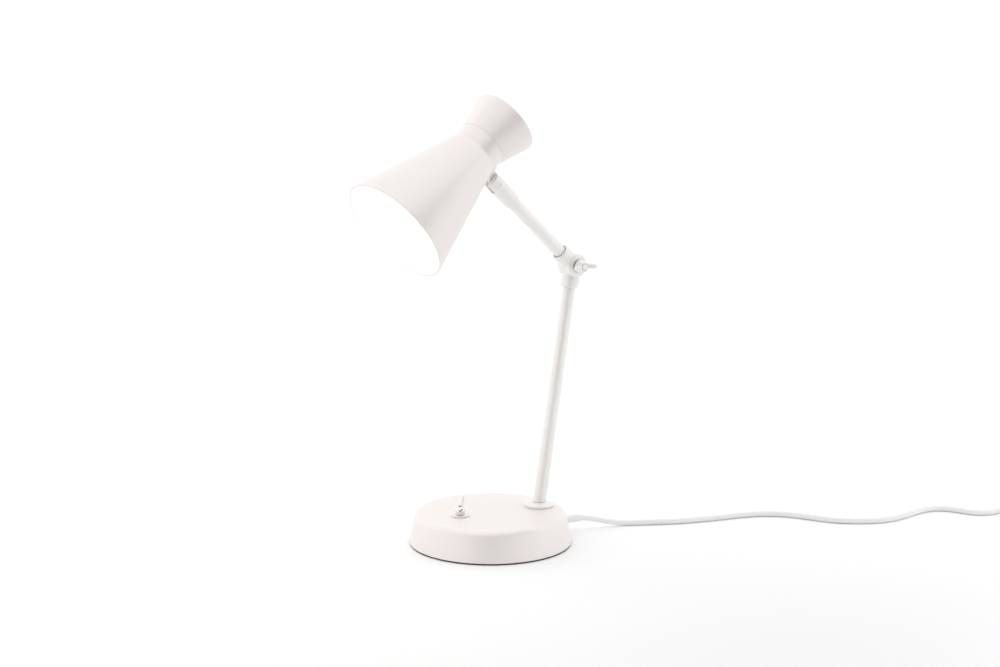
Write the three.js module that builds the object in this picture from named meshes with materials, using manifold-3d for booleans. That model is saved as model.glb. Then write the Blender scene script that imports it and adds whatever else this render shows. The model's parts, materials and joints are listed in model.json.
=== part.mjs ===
// Swing arm desk lamp: a round weighted base with a toggle switch, a leaning stem that swivels in the
// base, an elbow clamped by a wing nut, a short upper arm with a fork, and a waisted metal shade.
// Millimetres, +Z up, the shade points along -Y. The origin is the centre of the base on the desk.
import * as THREE from "three";
import { mergeVertices } from "three/addons/utils/BufferGeometryUtils.js";
import Module from "manifold-3d";

const wasm = await Module();
wasm.setup();

// ---------- driving dimensions (mm and degrees) ----------
const GAP = 0.3; // between pieces that touch
const RUNNING = 0.6; // beside a piece that turns

const BASE_RADIUS = 75;
const BASE_HEIGHT = 29;
const SHELL_LEAN_IN = 10; // how much narrower the flat top is than the lower edge
const SHELL_WALL = 1.8;
const SHOULDER = 6;
const PAD_THICKNESS = 2;
const PLATE_THICKNESS = 1.5;
const BALLAST_INSET = 7; // from the edge of the flat top
const BALLAST_WEB = 4;
const CHANNEL_WIDTH = 36; // space in the ballast for the switch, nut and lead
const BASE_TURN = 14; // the base is turned this far from the arms

const SWITCH_INSET = 34.5; // from the edge of the flat top to the switch
const SWITCH_SIZE = 13;
const BUSHING_RADIUS = 3;
const SWITCH_NUT_RADIUS = 4.8;
const SWITCH_WASHER_RADIUS = 9;
const LEVER_RADIUS = 1;
const LEVER_REACH = 15;
const LEVER_TILT = 12; // the lever rests at one of its two stops

const ROSETTE_RADIUS = 13.5;
const ROSETTE_MARGIN = 2.1; // flat metal left behind the rosette
const STUD_RADIUS = 5;
const LEAD_BORE = 3;
const LEAD_RADIUS = 2;

const TUBE_RADIUS = 6;
const TUBE_WALL = 1;
const STEM_LENGTH = 227.5; // from the top of the base to the elbow axis
const STEM_LEAN = 9.9;
const ARM_LENGTH = 125; // from the elbow axis to the fork pin
const ARM_RISE = 42.4; // above the horizontal
const SHADE_DIP = 35.3; // below the horizontal

const DISC_RADIUS = 11;
const KNUCKLE_HALF = 8.8; // from the middle of the elbow to its outer face
const DISC_GAP = 0.75; // from the middle of the elbow to each disc
const COLLAR_LENGTH = 10;
const COLLAR_WALL = 2.2;
const SPIGOT_LENGTH = 12;
const BOLT_RADIUS = 3;
const WING_SPAN = 12; // from the bolt to the tip of a wing
const WING_THICKNESS = 3.4;
const WING_TURN = 12; // as the nut stands when tight

const FORK_LENGTH = 34;
const FORK_RADIUS = 7.75;
const FORK_TIP = 5.5; // past the pin
const TONGUE_THICKNESS = 4;
const TONGUE_RADIUS = 5.5;
const PIN_RADIUS = 2;
const PIN_HEAD_RADIUS = 3;
const PIN_SEAT = 6.1; // from the middle of the fork to the floor of each counterbore
const PIN_FACE = 7.1; // from the middle of the fork to the pin's and the nut's flush faces

const PIN_TO_SHADE_AXIS = 36.7;
const NECK_RADIUS = 23.2;
const NECK_LENGTH = 14;
const NECK_OFFSET = 2.8; // middle of the neck, behind the fork pin
const NECK_STUD_RADIUS = 2; // of the tongue, through the neck into the holder carrier
const NECK_STUD_REACH = 7;
const SHADE_WALL = 1.2;
const NECK_STEP = 0.7; // the cones stand this far proud of the neck
const MOUTH_RADIUS = 52.6;
const FRONT_CONE_LENGTH = 105;
const REAR_RADIUS = 32;
const REAR_CONE_LENGTH = 32;
const REAR_LIP = 4;

const HOLDER_RADIUS = 13.5;
const HOLDER_LENGTH = 30;
const NIPPLE_RADIUS = 4.9;
const BULB_RADIUS = 22.5;
const BULB_LENGTH = 72.5; // from the contact to the tip
const CAP_RADIUS = 6.9; // screw cap of the bulb

const CORD_RADIUS = 2.6;
const CORD_HEIGHT = 12.5; // of the exit above the desk
const GLAND_REACH = 20;

// The free cord from the gland to the coil, as it lies on the desk.
const CORD_ROUTE = [
  [25, 100, 10.6], [28, 113, 6.8], [32, 125, 3.9], [38, 137, 2.7], [46, 150, 2.6],
  [55, 164, 2.6], [64, 180, 2.6], [72, 199, 2.6], [79, 220, 2.6], [86, 241, 2.6],
  [95, 259, 2.6], [108, 273, 2.6], [127, 284, 2.6], [148, 293, 2.6], [165, 306, 2.6],
  [177, 322, 2.6], [184, 340, 2.6], [185, 358, 2.6], [183, 377, 2.6], [183, 394, 2.6],
  [189, 408, 2.6], [202, 416, 2.6], [217, 421, 2.6], [227, 432, 2.6], [229, 448, 2.6],
  [228, 466, 2.6], [230, 484, 2.6], [237, 502, 2.6],
];
const COIL_CENTRE = [279, 497];
const COIL_TURN_RADIUS = 36.8; // outermost turn, to the middle of the cord
const COIL_ROWS = 4;
const COIL_LAYERS = 2;
const PLUG_TURN = -128; // where the cord leaves the coil, counted round the coil
const PLUG_PIN_PITCH = 18.6;
const PLUG_PIN_RADIUS = 2;
const PLUG_PIN_LENGTH = 19;

// Facets round a circle
const LARGE = 40;
const MEDIUM = 20;
const SMALL = 12;
const CORD_STEPS = 56;

// ---------- values worked out from the driving dimensions ----------
const TOP_RADIUS = BASE_RADIUS - SHELL_LEAN_IN;
const STEM_BACK = TOP_RADIUS - ROSETTE_RADIUS - ROSETTE_MARGIN;
const SWITCH_FRONT = TOP_RADIUS - SWITCH_INSET;
const SHELL_FOOT = PAD_THICKNESS + GAP;
const SHELL_CEILING = BASE_HEIGHT - SHELL_WALL;
const PLATE_TOP = SHELL_FOOT + PLATE_THICKNESS;
const BALLAST_RADIUS = TOP_RADIUS - BALLAST_INSET;
const CHANNEL_FLOOR = PLATE_TOP + GAP + BALLAST_WEB;
const COLLAR_BORE = TUBE_RADIUS + GAP;
const COLLAR_RADIUS = COLLAR_BORE + COLLAR_WALL;
const SPIGOT_RADIUS = TUBE_RADIUS - TUBE_WALL - GAP;
const FLANGE_FOOT = DISC_RADIUS + RUNNING;
const FLANGE_TOP = FLANGE_FOOT + 1.1;
const TUBE_START = FLANGE_TOP + GAP;
const FORK_END = ARM_LENGTH + FORK_TIP;
const FORK_START = FORK_END - FORK_LENGTH;
const SLOT_FLOOR = ARM_LENGTH - TONGUE_RADIUS - RUNNING;
const ARM_TUBE_END = SLOT_FLOOR - 7;
const NECK_FRONT = NECK_OFFSET - NECK_LENGTH / 2;
const NECK_REAR = NECK_OFFSET + NECK_LENGTH / 2;
const COIL_OUTER = COIL_TURN_RADIUS + CORD_RADIUS;
const COIL_INNER = COIL_OUTER - 2 * CORD_RADIUS * COIL_ROWS;
const COIL_TOP = 2 * CORD_RADIUS * COIL_LAYERS;

// ---------- materials ----------
const finish = (color, roughness, metalness) =>
  new THREE.MeshStandardMaterial({ color, roughness, metalness });
const WHITE_MATT = finish(0xf0e8e4, 0.6, 0.0);
const WHITE_GLOSS = finish(0xf2efec, 0.3, 0.0);
const CHROME = finish(0xc8c8ca, 0.12, 1.0);
const STEEL = finish(0x9a9c9e, 0.4, 1.0);
const BRASS = finish(0xb89a52, 0.35, 1.0);
const IRON = finish(0x4a4a4c, 0.7, 0.8);
const BLACK_PLASTIC = finish(0x1c1c1e, 0.5, 0.0);
const WHITE_PLASTIC = finish(0xeeeeec, 0.45, 0.0);
const RUBBER = finish(0x161616, 0.85, 0.0);
const OPAL_GLASS = finish(0xfff6e6, 0.2, 0.0);

// ---------- geometry helpers ----------
const radians = THREE.MathUtils.degToRad;
const FLAT = { bevelEnabled: false };

// A solid turned about Z from [radius, height] points. A profile that starts and ends on the
// axis is solid, and any other closes on itself.
function turned(profile, segments = MEDIUM) {
  const points = profile.map(([radius, height]) => new THREE.Vector2(radius, height));
  if (profile[0][0] > 0) points.push(points[0].clone());
  if (THREE.ShapeUtils.area(points) < 0) points.reverse();
  return new THREE.LatheGeometry(points, segments).rotateX(Math.PI / 2);
}

const rod = (radius, low, high, segments) =>
  turned([[0, low], [radius, low], [radius, high], [0, high]], segments);

const pipe = (outer, inner, low, high, segments) =>
  turned([[outer, low], [outer, high], [inner, high], [inner, low]], segments);

// A rod or pipe with its outer edges broken by a chamfer.
function chamfered(outer, inner, low, high, chamfer, segments) {
  const edge = [
    [outer - chamfer, low], [outer, low + chamfer], [outer, high - chamfer], [outer - chamfer, high],
  ];
  return turned([[inner, low], ...edge, [inner, high]], segments);
}

function block(sizeX, sizeY, sizeZ, x, y, z) {
  return new THREE.BoxGeometry(sizeX, sizeY, sizeZ).translate(x, y, z);
}

const alongX = (geometry) => geometry.rotateY(Math.PI / 2);
const alongY = (geometry) => geometry.rotateX(-Math.PI / 2);

// A plate from an outline drawn in (y, z), with its thickness centred on x = 0.
function sidePlate(shape, thickness) {
  const plate = new THREE.ExtrudeGeometry(shape, { ...FLAT, depth: thickness, curveSegments: 12 });
  const turn = new THREE.Matrix4().makeBasis(
    new THREE.Vector3(0, 1, 0), new THREE.Vector3(0, 0, 1), new THREE.Vector3(1, 0, 0),
  );
  return plate.translate(0, 0, -thickness / 2).applyMatrix4(turn);
}

function hexagon(acrossFlats, bore, low, high) {
  const outline = new THREE.Shape();
  const corner = acrossFlats / Math.sqrt(3);
  for (let i = 0; i < 6; i += 1) {
    const angle = (i * Math.PI) / 3;
    const step = i === 0 ? "moveTo" : "lineTo";
    outline[step](corner * Math.cos(angle), corner * Math.sin(angle));
  }
  outline.closePath();
  const nut = new THREE.ExtrudeGeometry(outline, { ...FLAT, depth: high - low });
  return cut(nut.translate(0, 0, low), rod(bore, low - 1, high + 1, SMALL));
}

// A geometry as a manifold-3d solid, for booleans.
function solid(geometry) {
  const bare = geometry.clone();
  bare.deleteAttribute("normal");
  bare.deleteAttribute("uv");
  const merged = mergeVertices(bare, 1e-4);
  return new wasm.Manifold(
    new wasm.Mesh({
      numProp: 3,
      vertProperties: merged.attributes.position.array,
      triVerts: new Uint32Array(merged.index.array),
    }),
  );
}

function geometryOf(manifold) {
  const mesh = manifold.getMesh();
  const geometry = new THREE.BufferGeometry();
  geometry.setAttribute("position", new THREE.BufferAttribute(mesh.vertProperties, 3));
  geometry.setIndex(new THREE.BufferAttribute(mesh.triVerts, 1));
  return geometry;
}

const cut = (body, ...tools) =>
  geometryOf(tools.reduce((rest, tool) => rest.subtract(solid(tool)), solid(body)));
const join = (...bodies) => geometryOf(bodies.map(solid).reduce((all, body) => all.add(body)));
const common = (a, b) => geometryOf(solid(a).intersect(solid(b)));

function add(parent, name, geometry, material) {
  const mesh = new THREE.Mesh(geometry, material);
  mesh.name = name;
  parent.add(mesh);
  return mesh;
}

function frame(parent, x, y, z, turnX = 0) {
  const group = new THREE.Group();
  group.position.set(x, y, z);
  group.rotation.x = radians(turnX);
  parent.add(group);
  return group;
}

// ---------- base ----------
function baseShell() {
  const slope = SHELL_LEAN_IN - SHOULDER;
  const shoulder = (radius, fromX, fromZ) => {
    const arc = [];
    for (let i = 0; i <= 5; i += 1) {
      const angle = (i / 5) * (Math.PI / 2);
      arc.push([fromX + radius * Math.cos(angle), fromZ + radius * Math.sin(angle)]);
    }
    return arc;
  };
  const outer = shoulder(SHOULDER, TOP_RADIUS, BASE_HEIGHT - SHOULDER);
  const inner = shoulder(SHOULDER - SHELL_WALL, TOP_RADIUS, BASE_HEIGHT - SHOULDER);
  const profile = [
    [0, BASE_HEIGHT], ...outer.reverse(),
    [TOP_RADIUS + SHOULDER + slope, SHELL_FOOT], [TOP_RADIUS + SHOULDER + slope - SHELL_WALL, SHELL_FOOT],
    ...inner, [0, SHELL_CEILING],
  ];
  const through = (radius, y) => rod(radius, SHELL_CEILING - 1, BASE_HEIGHT + 1, SMALL).translate(0, y, 0);
  const glandHole = alongY(rod(glandRadius + GAP, 0, BASE_RADIUS + 5, SMALL)).translate(0, 0, CORD_HEIGHT);
  return cut(
    turned(profile, LARGE),
    through(STUD_RADIUS + GAP, STEM_BACK),
    through(BUSHING_RADIUS + GAP, -SWITCH_FRONT),
    glandHole,
  );
}

const glandRadius = CORD_RADIUS + 2;
const sideHeight = BASE_HEIGHT - SHOULDER - SHELL_FOOT;
const shellSide = (height) =>
  BASE_RADIUS - ((height - SHELL_FOOT) / sideHeight) * (SHELL_LEAN_IN - SHOULDER);

function baseScrews(base) {
  const screwCircle = BALLAST_RADIUS - 12;
  const head = 4;
  const land = 0.2;
  const shank = 1.8;
  const depth = 3;
  const places = [30, 150, 270].map((angle) => [
    screwCircle * Math.cos(radians(angle)), screwCircle * Math.sin(radians(angle)),
  ]);
  const countersunk = (wider) =>
    turned([
      [0, SHELL_FOOT - wider], [head + wider, SHELL_FOOT - wider], [head + wider, SHELL_FOOT + land],
      [shank + wider, PLATE_TOP - GAP],
      [shank + wider, PLATE_TOP + depth + wider], [0, PLATE_TOP + depth + wider],
    ], SMALL);
  places.forEach(([x, y], i) => {
    add(base, `plate_screw_${i + 1}`, countersunk(0).translate(x, y, 0), STEEL);
  });
  return places.map(([x, y]) => countersunk(GAP).translate(x, y, 0));
}

function buildBase(lamp) {
  const base = frame(lamp, 0, 0, 0);
  base.rotation.z = radians(-BASE_TURN);
  add(base, "foot_pad", chamfered(BASE_RADIUS - 0.6, 0, 0, PAD_THICKNESS, 0.4, LARGE), RUBBER);
  add(base, "base_shell", baseShell(), WHITE_MATT);
  const screwHoles = baseScrews(base);
  const plateRadius = shellSide(PLATE_TOP) - SHELL_WALL - GAP;
  add(base, "bottom_plate", cut(rod(plateRadius, SHELL_FOOT, PLATE_TOP, LARGE), ...screwHoles), STEEL);

  const ballastTop = SHELL_CEILING - GAP;
  const channelHeight = ballastTop - CHANNEL_FLOOR;
  const channel = block(
    CHANNEL_WIDTH, 3 * BASE_RADIUS, channelHeight + 1, 0, 0, CHANNEL_FLOOR + (channelHeight + 1) / 2,
  );
  const clampHoles = [-1, 1].map((side) =>
    rod(1.5 + GAP, CHANNEL_FLOOR - 3, ballastTop, SMALL).translate(side * clampReach, clampY, 0));
  const ballast = chamfered(BALLAST_RADIUS, 0, PLATE_TOP + GAP, ballastTop, 2, LARGE);
  add(base, "ballast", cut(ballast, channel, ...screwHoles, ...clampHoles), IRON);

  buildSwitch(base);
  buildLeadEntry(base);
  add(base, "slip_ring",
    pipe(ROSETTE_RADIUS - 1, STUD_RADIUS + GAP, BASE_HEIGHT + GAP, BASE_HEIGHT + 3 * GAP)
      .translate(0, STEM_BACK, 0), WHITE_PLASTIC);
}

// ---------- toggle switch ----------
const switchBodyTop = SHELL_CEILING - GAP;
const switchBodyHeight = 13;
const switchWasherTop = BASE_HEIGHT + GAP + 0.5;
const switchNutTop = switchWasherTop + GAP + 8;
const leverPivot = BASE_HEIGHT + 3;
const ballRadius = 1.7;

function buildSwitch(base) {
  const toggle = frame(base, 0, -SWITCH_FRONT, 0);
  const middle = switchBodyTop - switchBodyHeight / 2;
  const bushingFoot = switchBodyTop - 2;
  const pocket = rod(BUSHING_RADIUS + GAP, bushingFoot - GAP, switchBodyTop + 1, SMALL);
  const body = cut(block(SWITCH_SIZE, SWITCH_SIZE, switchBodyHeight, 0, 0, middle), pocket);
  const terminal = (y) => block(2, 0.8, 4, 0, y, switchBodyTop - switchBodyHeight - 1.9);
  add(toggle, "switch_body", join(body, terminal(-3), terminal(3)), BLACK_PLASTIC);
  const bushingTop = switchNutTop - 2.2;
  const bushing = turned([
    [BUSHING_RADIUS, bushingFoot], [BUSHING_RADIUS, bushingTop], [BUSHING_RADIUS - 0.5, bushingTop],
    [ballRadius + GAP, leverPivot], [ballRadius + GAP, bushingFoot],
  ], SMALL);
  add(toggle, "switch_bushing", bushing, STEEL);
  const washer = pipe(
    SWITCH_WASHER_RADIUS, BUSHING_RADIUS + GAP, BASE_HEIGHT + GAP, switchWasherTop, MEDIUM,
  );
  add(toggle, "switch_washer", washer, WHITE_MATT);
  const low = switchWasherTop + GAP;
  const nut = [
    [SWITCH_NUT_RADIUS - 1, low], [SWITCH_NUT_RADIUS - 0.3, low + 1.2], [SWITCH_NUT_RADIUS, low + 3],
    [SWITCH_NUT_RADIUS - 0.3, low + 5], [SWITCH_NUT_RADIUS - 1.1, low + 6.9],
    [SWITCH_NUT_RADIUS - 2, switchNutTop], [BUSHING_RADIUS - 0.4, bushingTop + GAP],
    [BUSHING_RADIUS + GAP, bushingTop + GAP], [BUSHING_RADIUS + GAP, low],
  ];
  add(toggle, "switch_nut", turned(nut, MEDIUM), CHROME);
  const lever = frame(toggle, 0, 0, leverPivot, -LEVER_TILT);
  const tip = LEVER_REACH;
  const stick = [
    [0, -ballRadius], [1.2, -1.2], [ballRadius, 0], [1.2, 1.2], [LEVER_RADIUS * 0.85, 1.6],
    [LEVER_RADIUS, tip - 1], [LEVER_RADIUS * 0.6, tip - 0.2], [0, tip],
  ];
  add(lever, "switch_lever", turned(stick, SMALL), CHROME);
}

// ---------- lead entry, clamp and terminals inside the base ----------
const clampY = 24;
const clampReach = 9;
const terminalY = 2;

function buildLeadEntry(base) {
  const side = shellSide(CORD_HEIGHT);
  const inside = side - SHELL_WALL - 3;
  const bore = CORD_RADIUS + GAP;
  const collarRadius = glandRadius + 1.6;
  const collarFace = shellSide(CORD_HEIGHT - collarRadius) + GAP;
  const gland = [
    [collarRadius, collarFace], [collarRadius, collarFace + 1.6], [glandRadius - 0.4, collarFace + 2.6],
    [CORD_RADIUS + 0.9, side + GLAND_REACH], [bore, side + GLAND_REACH], [bore, inside],
    [glandRadius, inside], [glandRadius, collarFace],
  ];
  const faceOn = (geometry) => alongY(geometry).translate(0, 0, CORD_HEIGHT);
  add(base, "cord_gland", faceOn(turned(gland, SMALL)), WHITE_PLASTIC);
  const terminalDepth = 14;
  const leadInner = terminalY + terminalDepth / 2 + GAP;
  add(base, "base_lead",
    faceOn(rod(CORD_RADIUS, leadInner, side + GLAND_REACH - 1, SMALL)), WHITE_PLASTIC);
  const barFoot = CORD_HEIGHT + CORD_RADIUS + GAP;
  const barHeight = 3;
  const drill = (x) => rod(1.5 + GAP, barFoot - 1, barFoot + barHeight + 1, SMALL).translate(x, clampY, 0);
  const bar = block(2 * clampReach + 7, 7, barHeight, 0, clampY, barFoot + barHeight / 2);
  add(base, "cord_clamp", cut(bar, drill(-clampReach), drill(clampReach)), BLACK_PLASTIC);
  [-1, 1].forEach((hand, i) => {
    const screw = turned([
      [0, CHANNEL_FLOOR - 2.5], [1.5, CHANNEL_FLOOR - 2.5], [1.5, barFoot + barHeight + GAP],
      [2.8, barFoot + barHeight + GAP], [2.5, barFoot + barHeight + 2], [0, barFoot + barHeight + 2.2],
    ], SMALL);
    add(base, `clamp_screw_${i + 1}`, screw.translate(hand * clampReach, clampY, 0), STEEL);
  });
  const height = 12;
  const foot = CHANNEL_FLOOR + GAP;
  const blockBody = block(20, terminalDepth, height, 0, terminalY, foot + height / 2);
  const wells = [-5, 5].map((x) => rod(2, foot + 4, foot + height + 1, SMALL).translate(x, terminalY, 0));
  add(base, "terminal_block", cut(blockBody, ...wells), WHITE_PLASTIC);
}

// ---------- stem ----------
function rosette() {
  const low = 4 * GAP; // clear of the slip ring
  const top = low + 3.2;
  const disc = turned([
    [0, -12], [STUD_RADIUS, -12], [STUD_RADIUS, low], [ROSETTE_RADIUS, low],
    [ROSETTE_RADIUS, low + 1.6], [ROSETTE_RADIUS - 0.8, low + 2.6], [ROSETTE_RADIUS - 2.2, top], [0, top],
  ], MEDIUM);
  const lean = (geometry) => geometry.rotateX(-radians(STEM_LEAN));
  const tilt = radians(STEM_LEAN);
  const spigotFoot = (low + SPIGOT_RADIUS * Math.sin(tilt)) / Math.cos(tilt);
  const spigot = lean(rod(SPIGOT_RADIUS, spigotFoot, top + SPIGOT_LENGTH, MEDIUM));
  const bores = [rod(LEAD_BORE, -13, 0.5, SMALL), lean(rod(LEAD_BORE, 0, top + SPIGOT_LENGTH + 1, SMALL))];
  return { geometry: cut(join(disc, spigot), ...bores), top };
}

// One half of the elbow, in a frame with z along its own tube. side is -1 or 1 along x.
function knuckle(side) {
  const near = side * DISC_GAP;
  const far = side * KNUCKLE_HALF;
  const low = Math.min(near, far);
  const high = Math.max(near, far);
  const disc = alongX(chamfered(DISC_RADIUS, 0, low, high, 0.8, MEDIUM));
  const neckWidth = 2 * (COLLAR_RADIUS - 1);
  const neck = common(
    block(high - low, neckWidth, FLANGE_TOP, (low + high) / 2, 0, FLANGE_TOP / 2),
    rod(KNUCKLE_HALF, -1, FLANGE_TOP + 1, MEDIUM),
  );
  const flange = rod(COLLAR_RADIUS - 0.4, FLANGE_FOOT, FLANGE_TOP, MEDIUM);
  const spigot = rod(SPIGOT_RADIUS, FLANGE_FOOT, FLANGE_TOP + SPIGOT_LENGTH, MEDIUM);
  const boltHole = alongX(rod(BOLT_RADIUS + GAP, low - 1, high + 1, MEDIUM));
  return cut(join(disc, neck, flange, spigot), boltHole);
}

const collar = () =>
  chamfered(COLLAR_RADIUS, COLLAR_BORE, TUBE_START, TUBE_START + COLLAR_LENGTH, 0.8, MEDIUM);

function buildStem(lamp) {
  const turn = radians(BASE_TURN);
  const foot = frame(lamp, STEM_BACK * Math.sin(turn), STEM_BACK * Math.cos(turn), BASE_HEIGHT);
  const seat = rosette();
  add(foot, "stem_foot", seat.geometry, WHITE_GLOSS);
  const under = -SHELL_WALL - GAP;
  add(foot, "swivel_washer", pipe(8.5, STUD_RADIUS + GAP, under - 0.8, under, MEDIUM), STEEL);
  add(foot, "swivel_nut", hexagon(15, STUD_RADIUS + GAP, under - 0.8 - GAP - 5, under - 0.8 - GAP), STEEL);

  const stem = frame(foot, 0, 0, 0, -STEM_LEAN);
  const floor = block(60, 60, 40, 0, 0, seat.top + GAP - 20).rotateX(radians(STEM_LEAN));
  const tube = pipe(TUBE_RADIUS, TUBE_RADIUS - TUBE_WALL, 0, STEM_LENGTH - TUBE_START, MEDIUM);
  add(stem, "stem_tube", cut(tube, floor), WHITE_GLOSS);
  const leadEnd = STEM_LENGTH - FLANGE_TOP - SPIGOT_LENGTH - 2;
  add(stem, "stem_lead", rod(LEAD_RADIUS, 2, leadEnd, 12), WHITE_PLASTIC);
  return frame(stem, 0, 0, STEM_LENGTH);
}

function buildElbow(elbow) {
  const down = frame(elbow, 0, 0, 0, 180);
  add(down, "lower_knuckle", knuckle(-1), WHITE_GLOSS);
  add(down, "lower_collar", collar(), WHITE_GLOSS);
  const face = KNUCKLE_HALF + GAP;
  const bolt = turned([
    [0, -face - 3], [3.5, -face - 2.6], [5.6, -face - 1.2], [6, -face], [BOLT_RADIUS, -face],
    [BOLT_RADIUS, wingTop], [0, wingTop],
  ], MEDIUM);
  add(elbow, "elbow_bolt", alongX(bolt), WHITE_GLOSS);
  const nut = frame(elbow, 0, 0, 0, WING_TURN);
  add(nut, "wing_nut", wingNut(), WHITE_GLOSS);
}

const washerTop = KNUCKLE_HALF + 2 * GAP + 0.8;
const wingFoot = washerTop + GAP;
const wingTop = wingFoot + 8;

function wingNut() {
  const hub = alongX(turned([
    [BOLT_RADIUS + GAP, wingFoot], [6, wingFoot], [5.6, wingFoot + 5], [4.6, wingFoot + 7.4],
    [BOLT_RADIUS + GAP, wingFoot + 7.4],
  ], MEDIUM));
  const wing = new THREE.Shape();
  wing.moveTo(4, wingFoot + 1);
  wing.lineTo(7, wingFoot + 1.4);
  wing.quadraticCurveTo(WING_SPAN - 1, wingFoot + 4, WING_SPAN, wingFoot + 9);
  wing.quadraticCurveTo(WING_SPAN, wingFoot + 13, WING_SPAN - 3.4, wingFoot + 12.6);
  wing.quadraticCurveTo(6.6, wingFoot + 11, 4, wingFoot + 6.6);
  wing.closePath();
  const blade = new THREE.ExtrudeGeometry(wing, { ...FLAT, depth: WING_THICKNESS, curveSegments: 8 });
  const lay = new THREE.Matrix4().makeBasis(
    new THREE.Vector3(0, 1, 0), new THREE.Vector3(1, 0, 0), new THREE.Vector3(0, 0, -1),
  );
  blade.translate(0, 0, -WING_THICKNESS / 2).applyMatrix4(lay);
  const other = blade.clone().rotateX(Math.PI);
  return join(hub, blade, other);
}

// ---------- upper arm ----------
function forkSleeve() {
  const body = chamfered(FORK_RADIUS, 0, FORK_START, FORK_END, 0.6, MEDIUM);
  const slotWidth = TONGUE_THICKNESS + 2 * GAP;
  const slot = block(slotWidth, 40, 40, 0, 0, SLOT_FLOOR + 20);
  return cut(
    body,
    rod(TUBE_RADIUS + GAP, FORK_START - 1, ARM_TUBE_END + GAP, MEDIUM),
    slot,
    alongX(rod(PIN_RADIUS + GAP, -20, 20, SMALL)).translate(0, 0, ARM_LENGTH),
    alongX(rod(PIN_HEAD_RADIUS + GAP, PIN_SEAT, 20, SMALL)).translate(0, 0, ARM_LENGTH),
    alongX(rod(PIN_HEAD_RADIUS + GAP, -20, -PIN_SEAT, SMALL)).translate(0, 0, ARM_LENGTH),
  );
}

function buildArm(elbow) {
  const arm = frame(elbow, 0, 0, 0, STEM_LEAN + 90 - ARM_RISE);
  add(arm, "upper_knuckle", knuckle(1), WHITE_GLOSS);
  add(arm, "upper_collar", collar(), WHITE_GLOSS);
  add(arm, "friction_washer",
    alongX(pipe(9.5, BOLT_RADIUS + GAP, GAP - DISC_GAP, DISC_GAP - GAP, MEDIUM)), WHITE_PLASTIC);
  add(arm, "spring_washer",
    alongX(pipe(6.4, BOLT_RADIUS + GAP, KNUCKLE_HALF + GAP, washerTop - GAP, MEDIUM)), STEEL);
  add(arm, "arm_tube",
    pipe(TUBE_RADIUS, TUBE_RADIUS - TUBE_WALL, TUBE_START, ARM_TUBE_END, MEDIUM), WHITE_GLOSS);
  add(arm, "arm_lead",
    rod(LEAD_RADIUS, FLANGE_TOP + SPIGOT_LENGTH + 2, ARM_TUBE_END - 1, 12), WHITE_PLASTIC);
  add(arm, "fork_sleeve", forkSleeve(), WHITE_GLOSS);
  const seat = PIN_SEAT + GAP;
  const pin = turned([
    [0, -PIN_FACE], [PIN_HEAD_RADIUS, -PIN_FACE], [PIN_HEAD_RADIUS, -seat], [PIN_RADIUS, -seat],
    [PIN_RADIUS, PIN_FACE], [0, PIN_FACE],
  ], SMALL);
  add(arm, "pivot_pin", alongX(pin).translate(0, 0, ARM_LENGTH), WHITE_GLOSS);
  const nut = pipe(PIN_HEAD_RADIUS, PIN_RADIUS + GAP, seat, PIN_FACE, SMALL);
  add(arm, "pivot_nut", alongX(nut).translate(0, 0, ARM_LENGTH), WHITE_GLOSS);
  return frame(arm, 0, 0, ARM_LENGTH, SHADE_DIP + ARM_RISE - 180);
}

// ---------- head: y runs from the shade's axis to the fork pin, z to the rear ----------
const frontEnd = NECK_FRONT - FRONT_CONE_LENGTH;
const rearEnd = NECK_REAR + REAR_CONE_LENGTH;
const neckInner = NECK_RADIUS - SHADE_WALL - 0.3;

function tongue() {
  const neckFace = NECK_RADIUS - PIN_TO_SHADE_AXIS + GAP;
  const foot = 2;
  const half = 5;
  const outline = new THREE.Shape();
  outline.absarc(0, 0, TONGUE_RADIUS, radians(-100), radians(100), false);
  outline.lineTo(neckFace + foot / 2, NECK_OFFSET + half - 1);
  outline.lineTo(neckFace + foot / 2, NECK_OFFSET - half + 1);
  outline.closePath();
  const pad = block(2 * half, foot, 2 * half, 0, neckFace + foot / 2, NECK_OFFSET);
  const shank = rod(NECK_STUD_RADIUS, neckFace - NECK_STUD_REACH, neckFace + 1, SMALL);
  const stud = alongY(shank).translate(0, 0, NECK_OFFSET);
  const pinHole = alongX(rod(PIN_RADIUS + GAP, -10, 10, SMALL));
  return cut(join(sidePlate(outline, TONGUE_THICKNESS), pad, stud), pinHole);
}

function frontCone() {
  const spigotOuter = neckInner - GAP;
  const neckOuter = NECK_RADIUS + NECK_STEP;
  const spigotEnd = NECK_OFFSET - 2.4;
  return turned([
    [spigotOuter, spigotEnd], [spigotOuter, NECK_FRONT - GAP], [neckOuter, NECK_FRONT - GAP],
    [MOUTH_RADIUS - 0.3, frontEnd + 0.7], [MOUTH_RADIUS, frontEnd + 0.2], [MOUTH_RADIUS - 0.4, frontEnd],
    [MOUTH_RADIUS - SHADE_WALL - 0.2, frontEnd], [neckOuter - SHADE_WALL, NECK_FRONT - GAP - 2.6],
    [spigotOuter - SHADE_WALL, NECK_FRONT - 1.4], [spigotOuter - SHADE_WALL, spigotEnd],
  ], LARGE);
}

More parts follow.
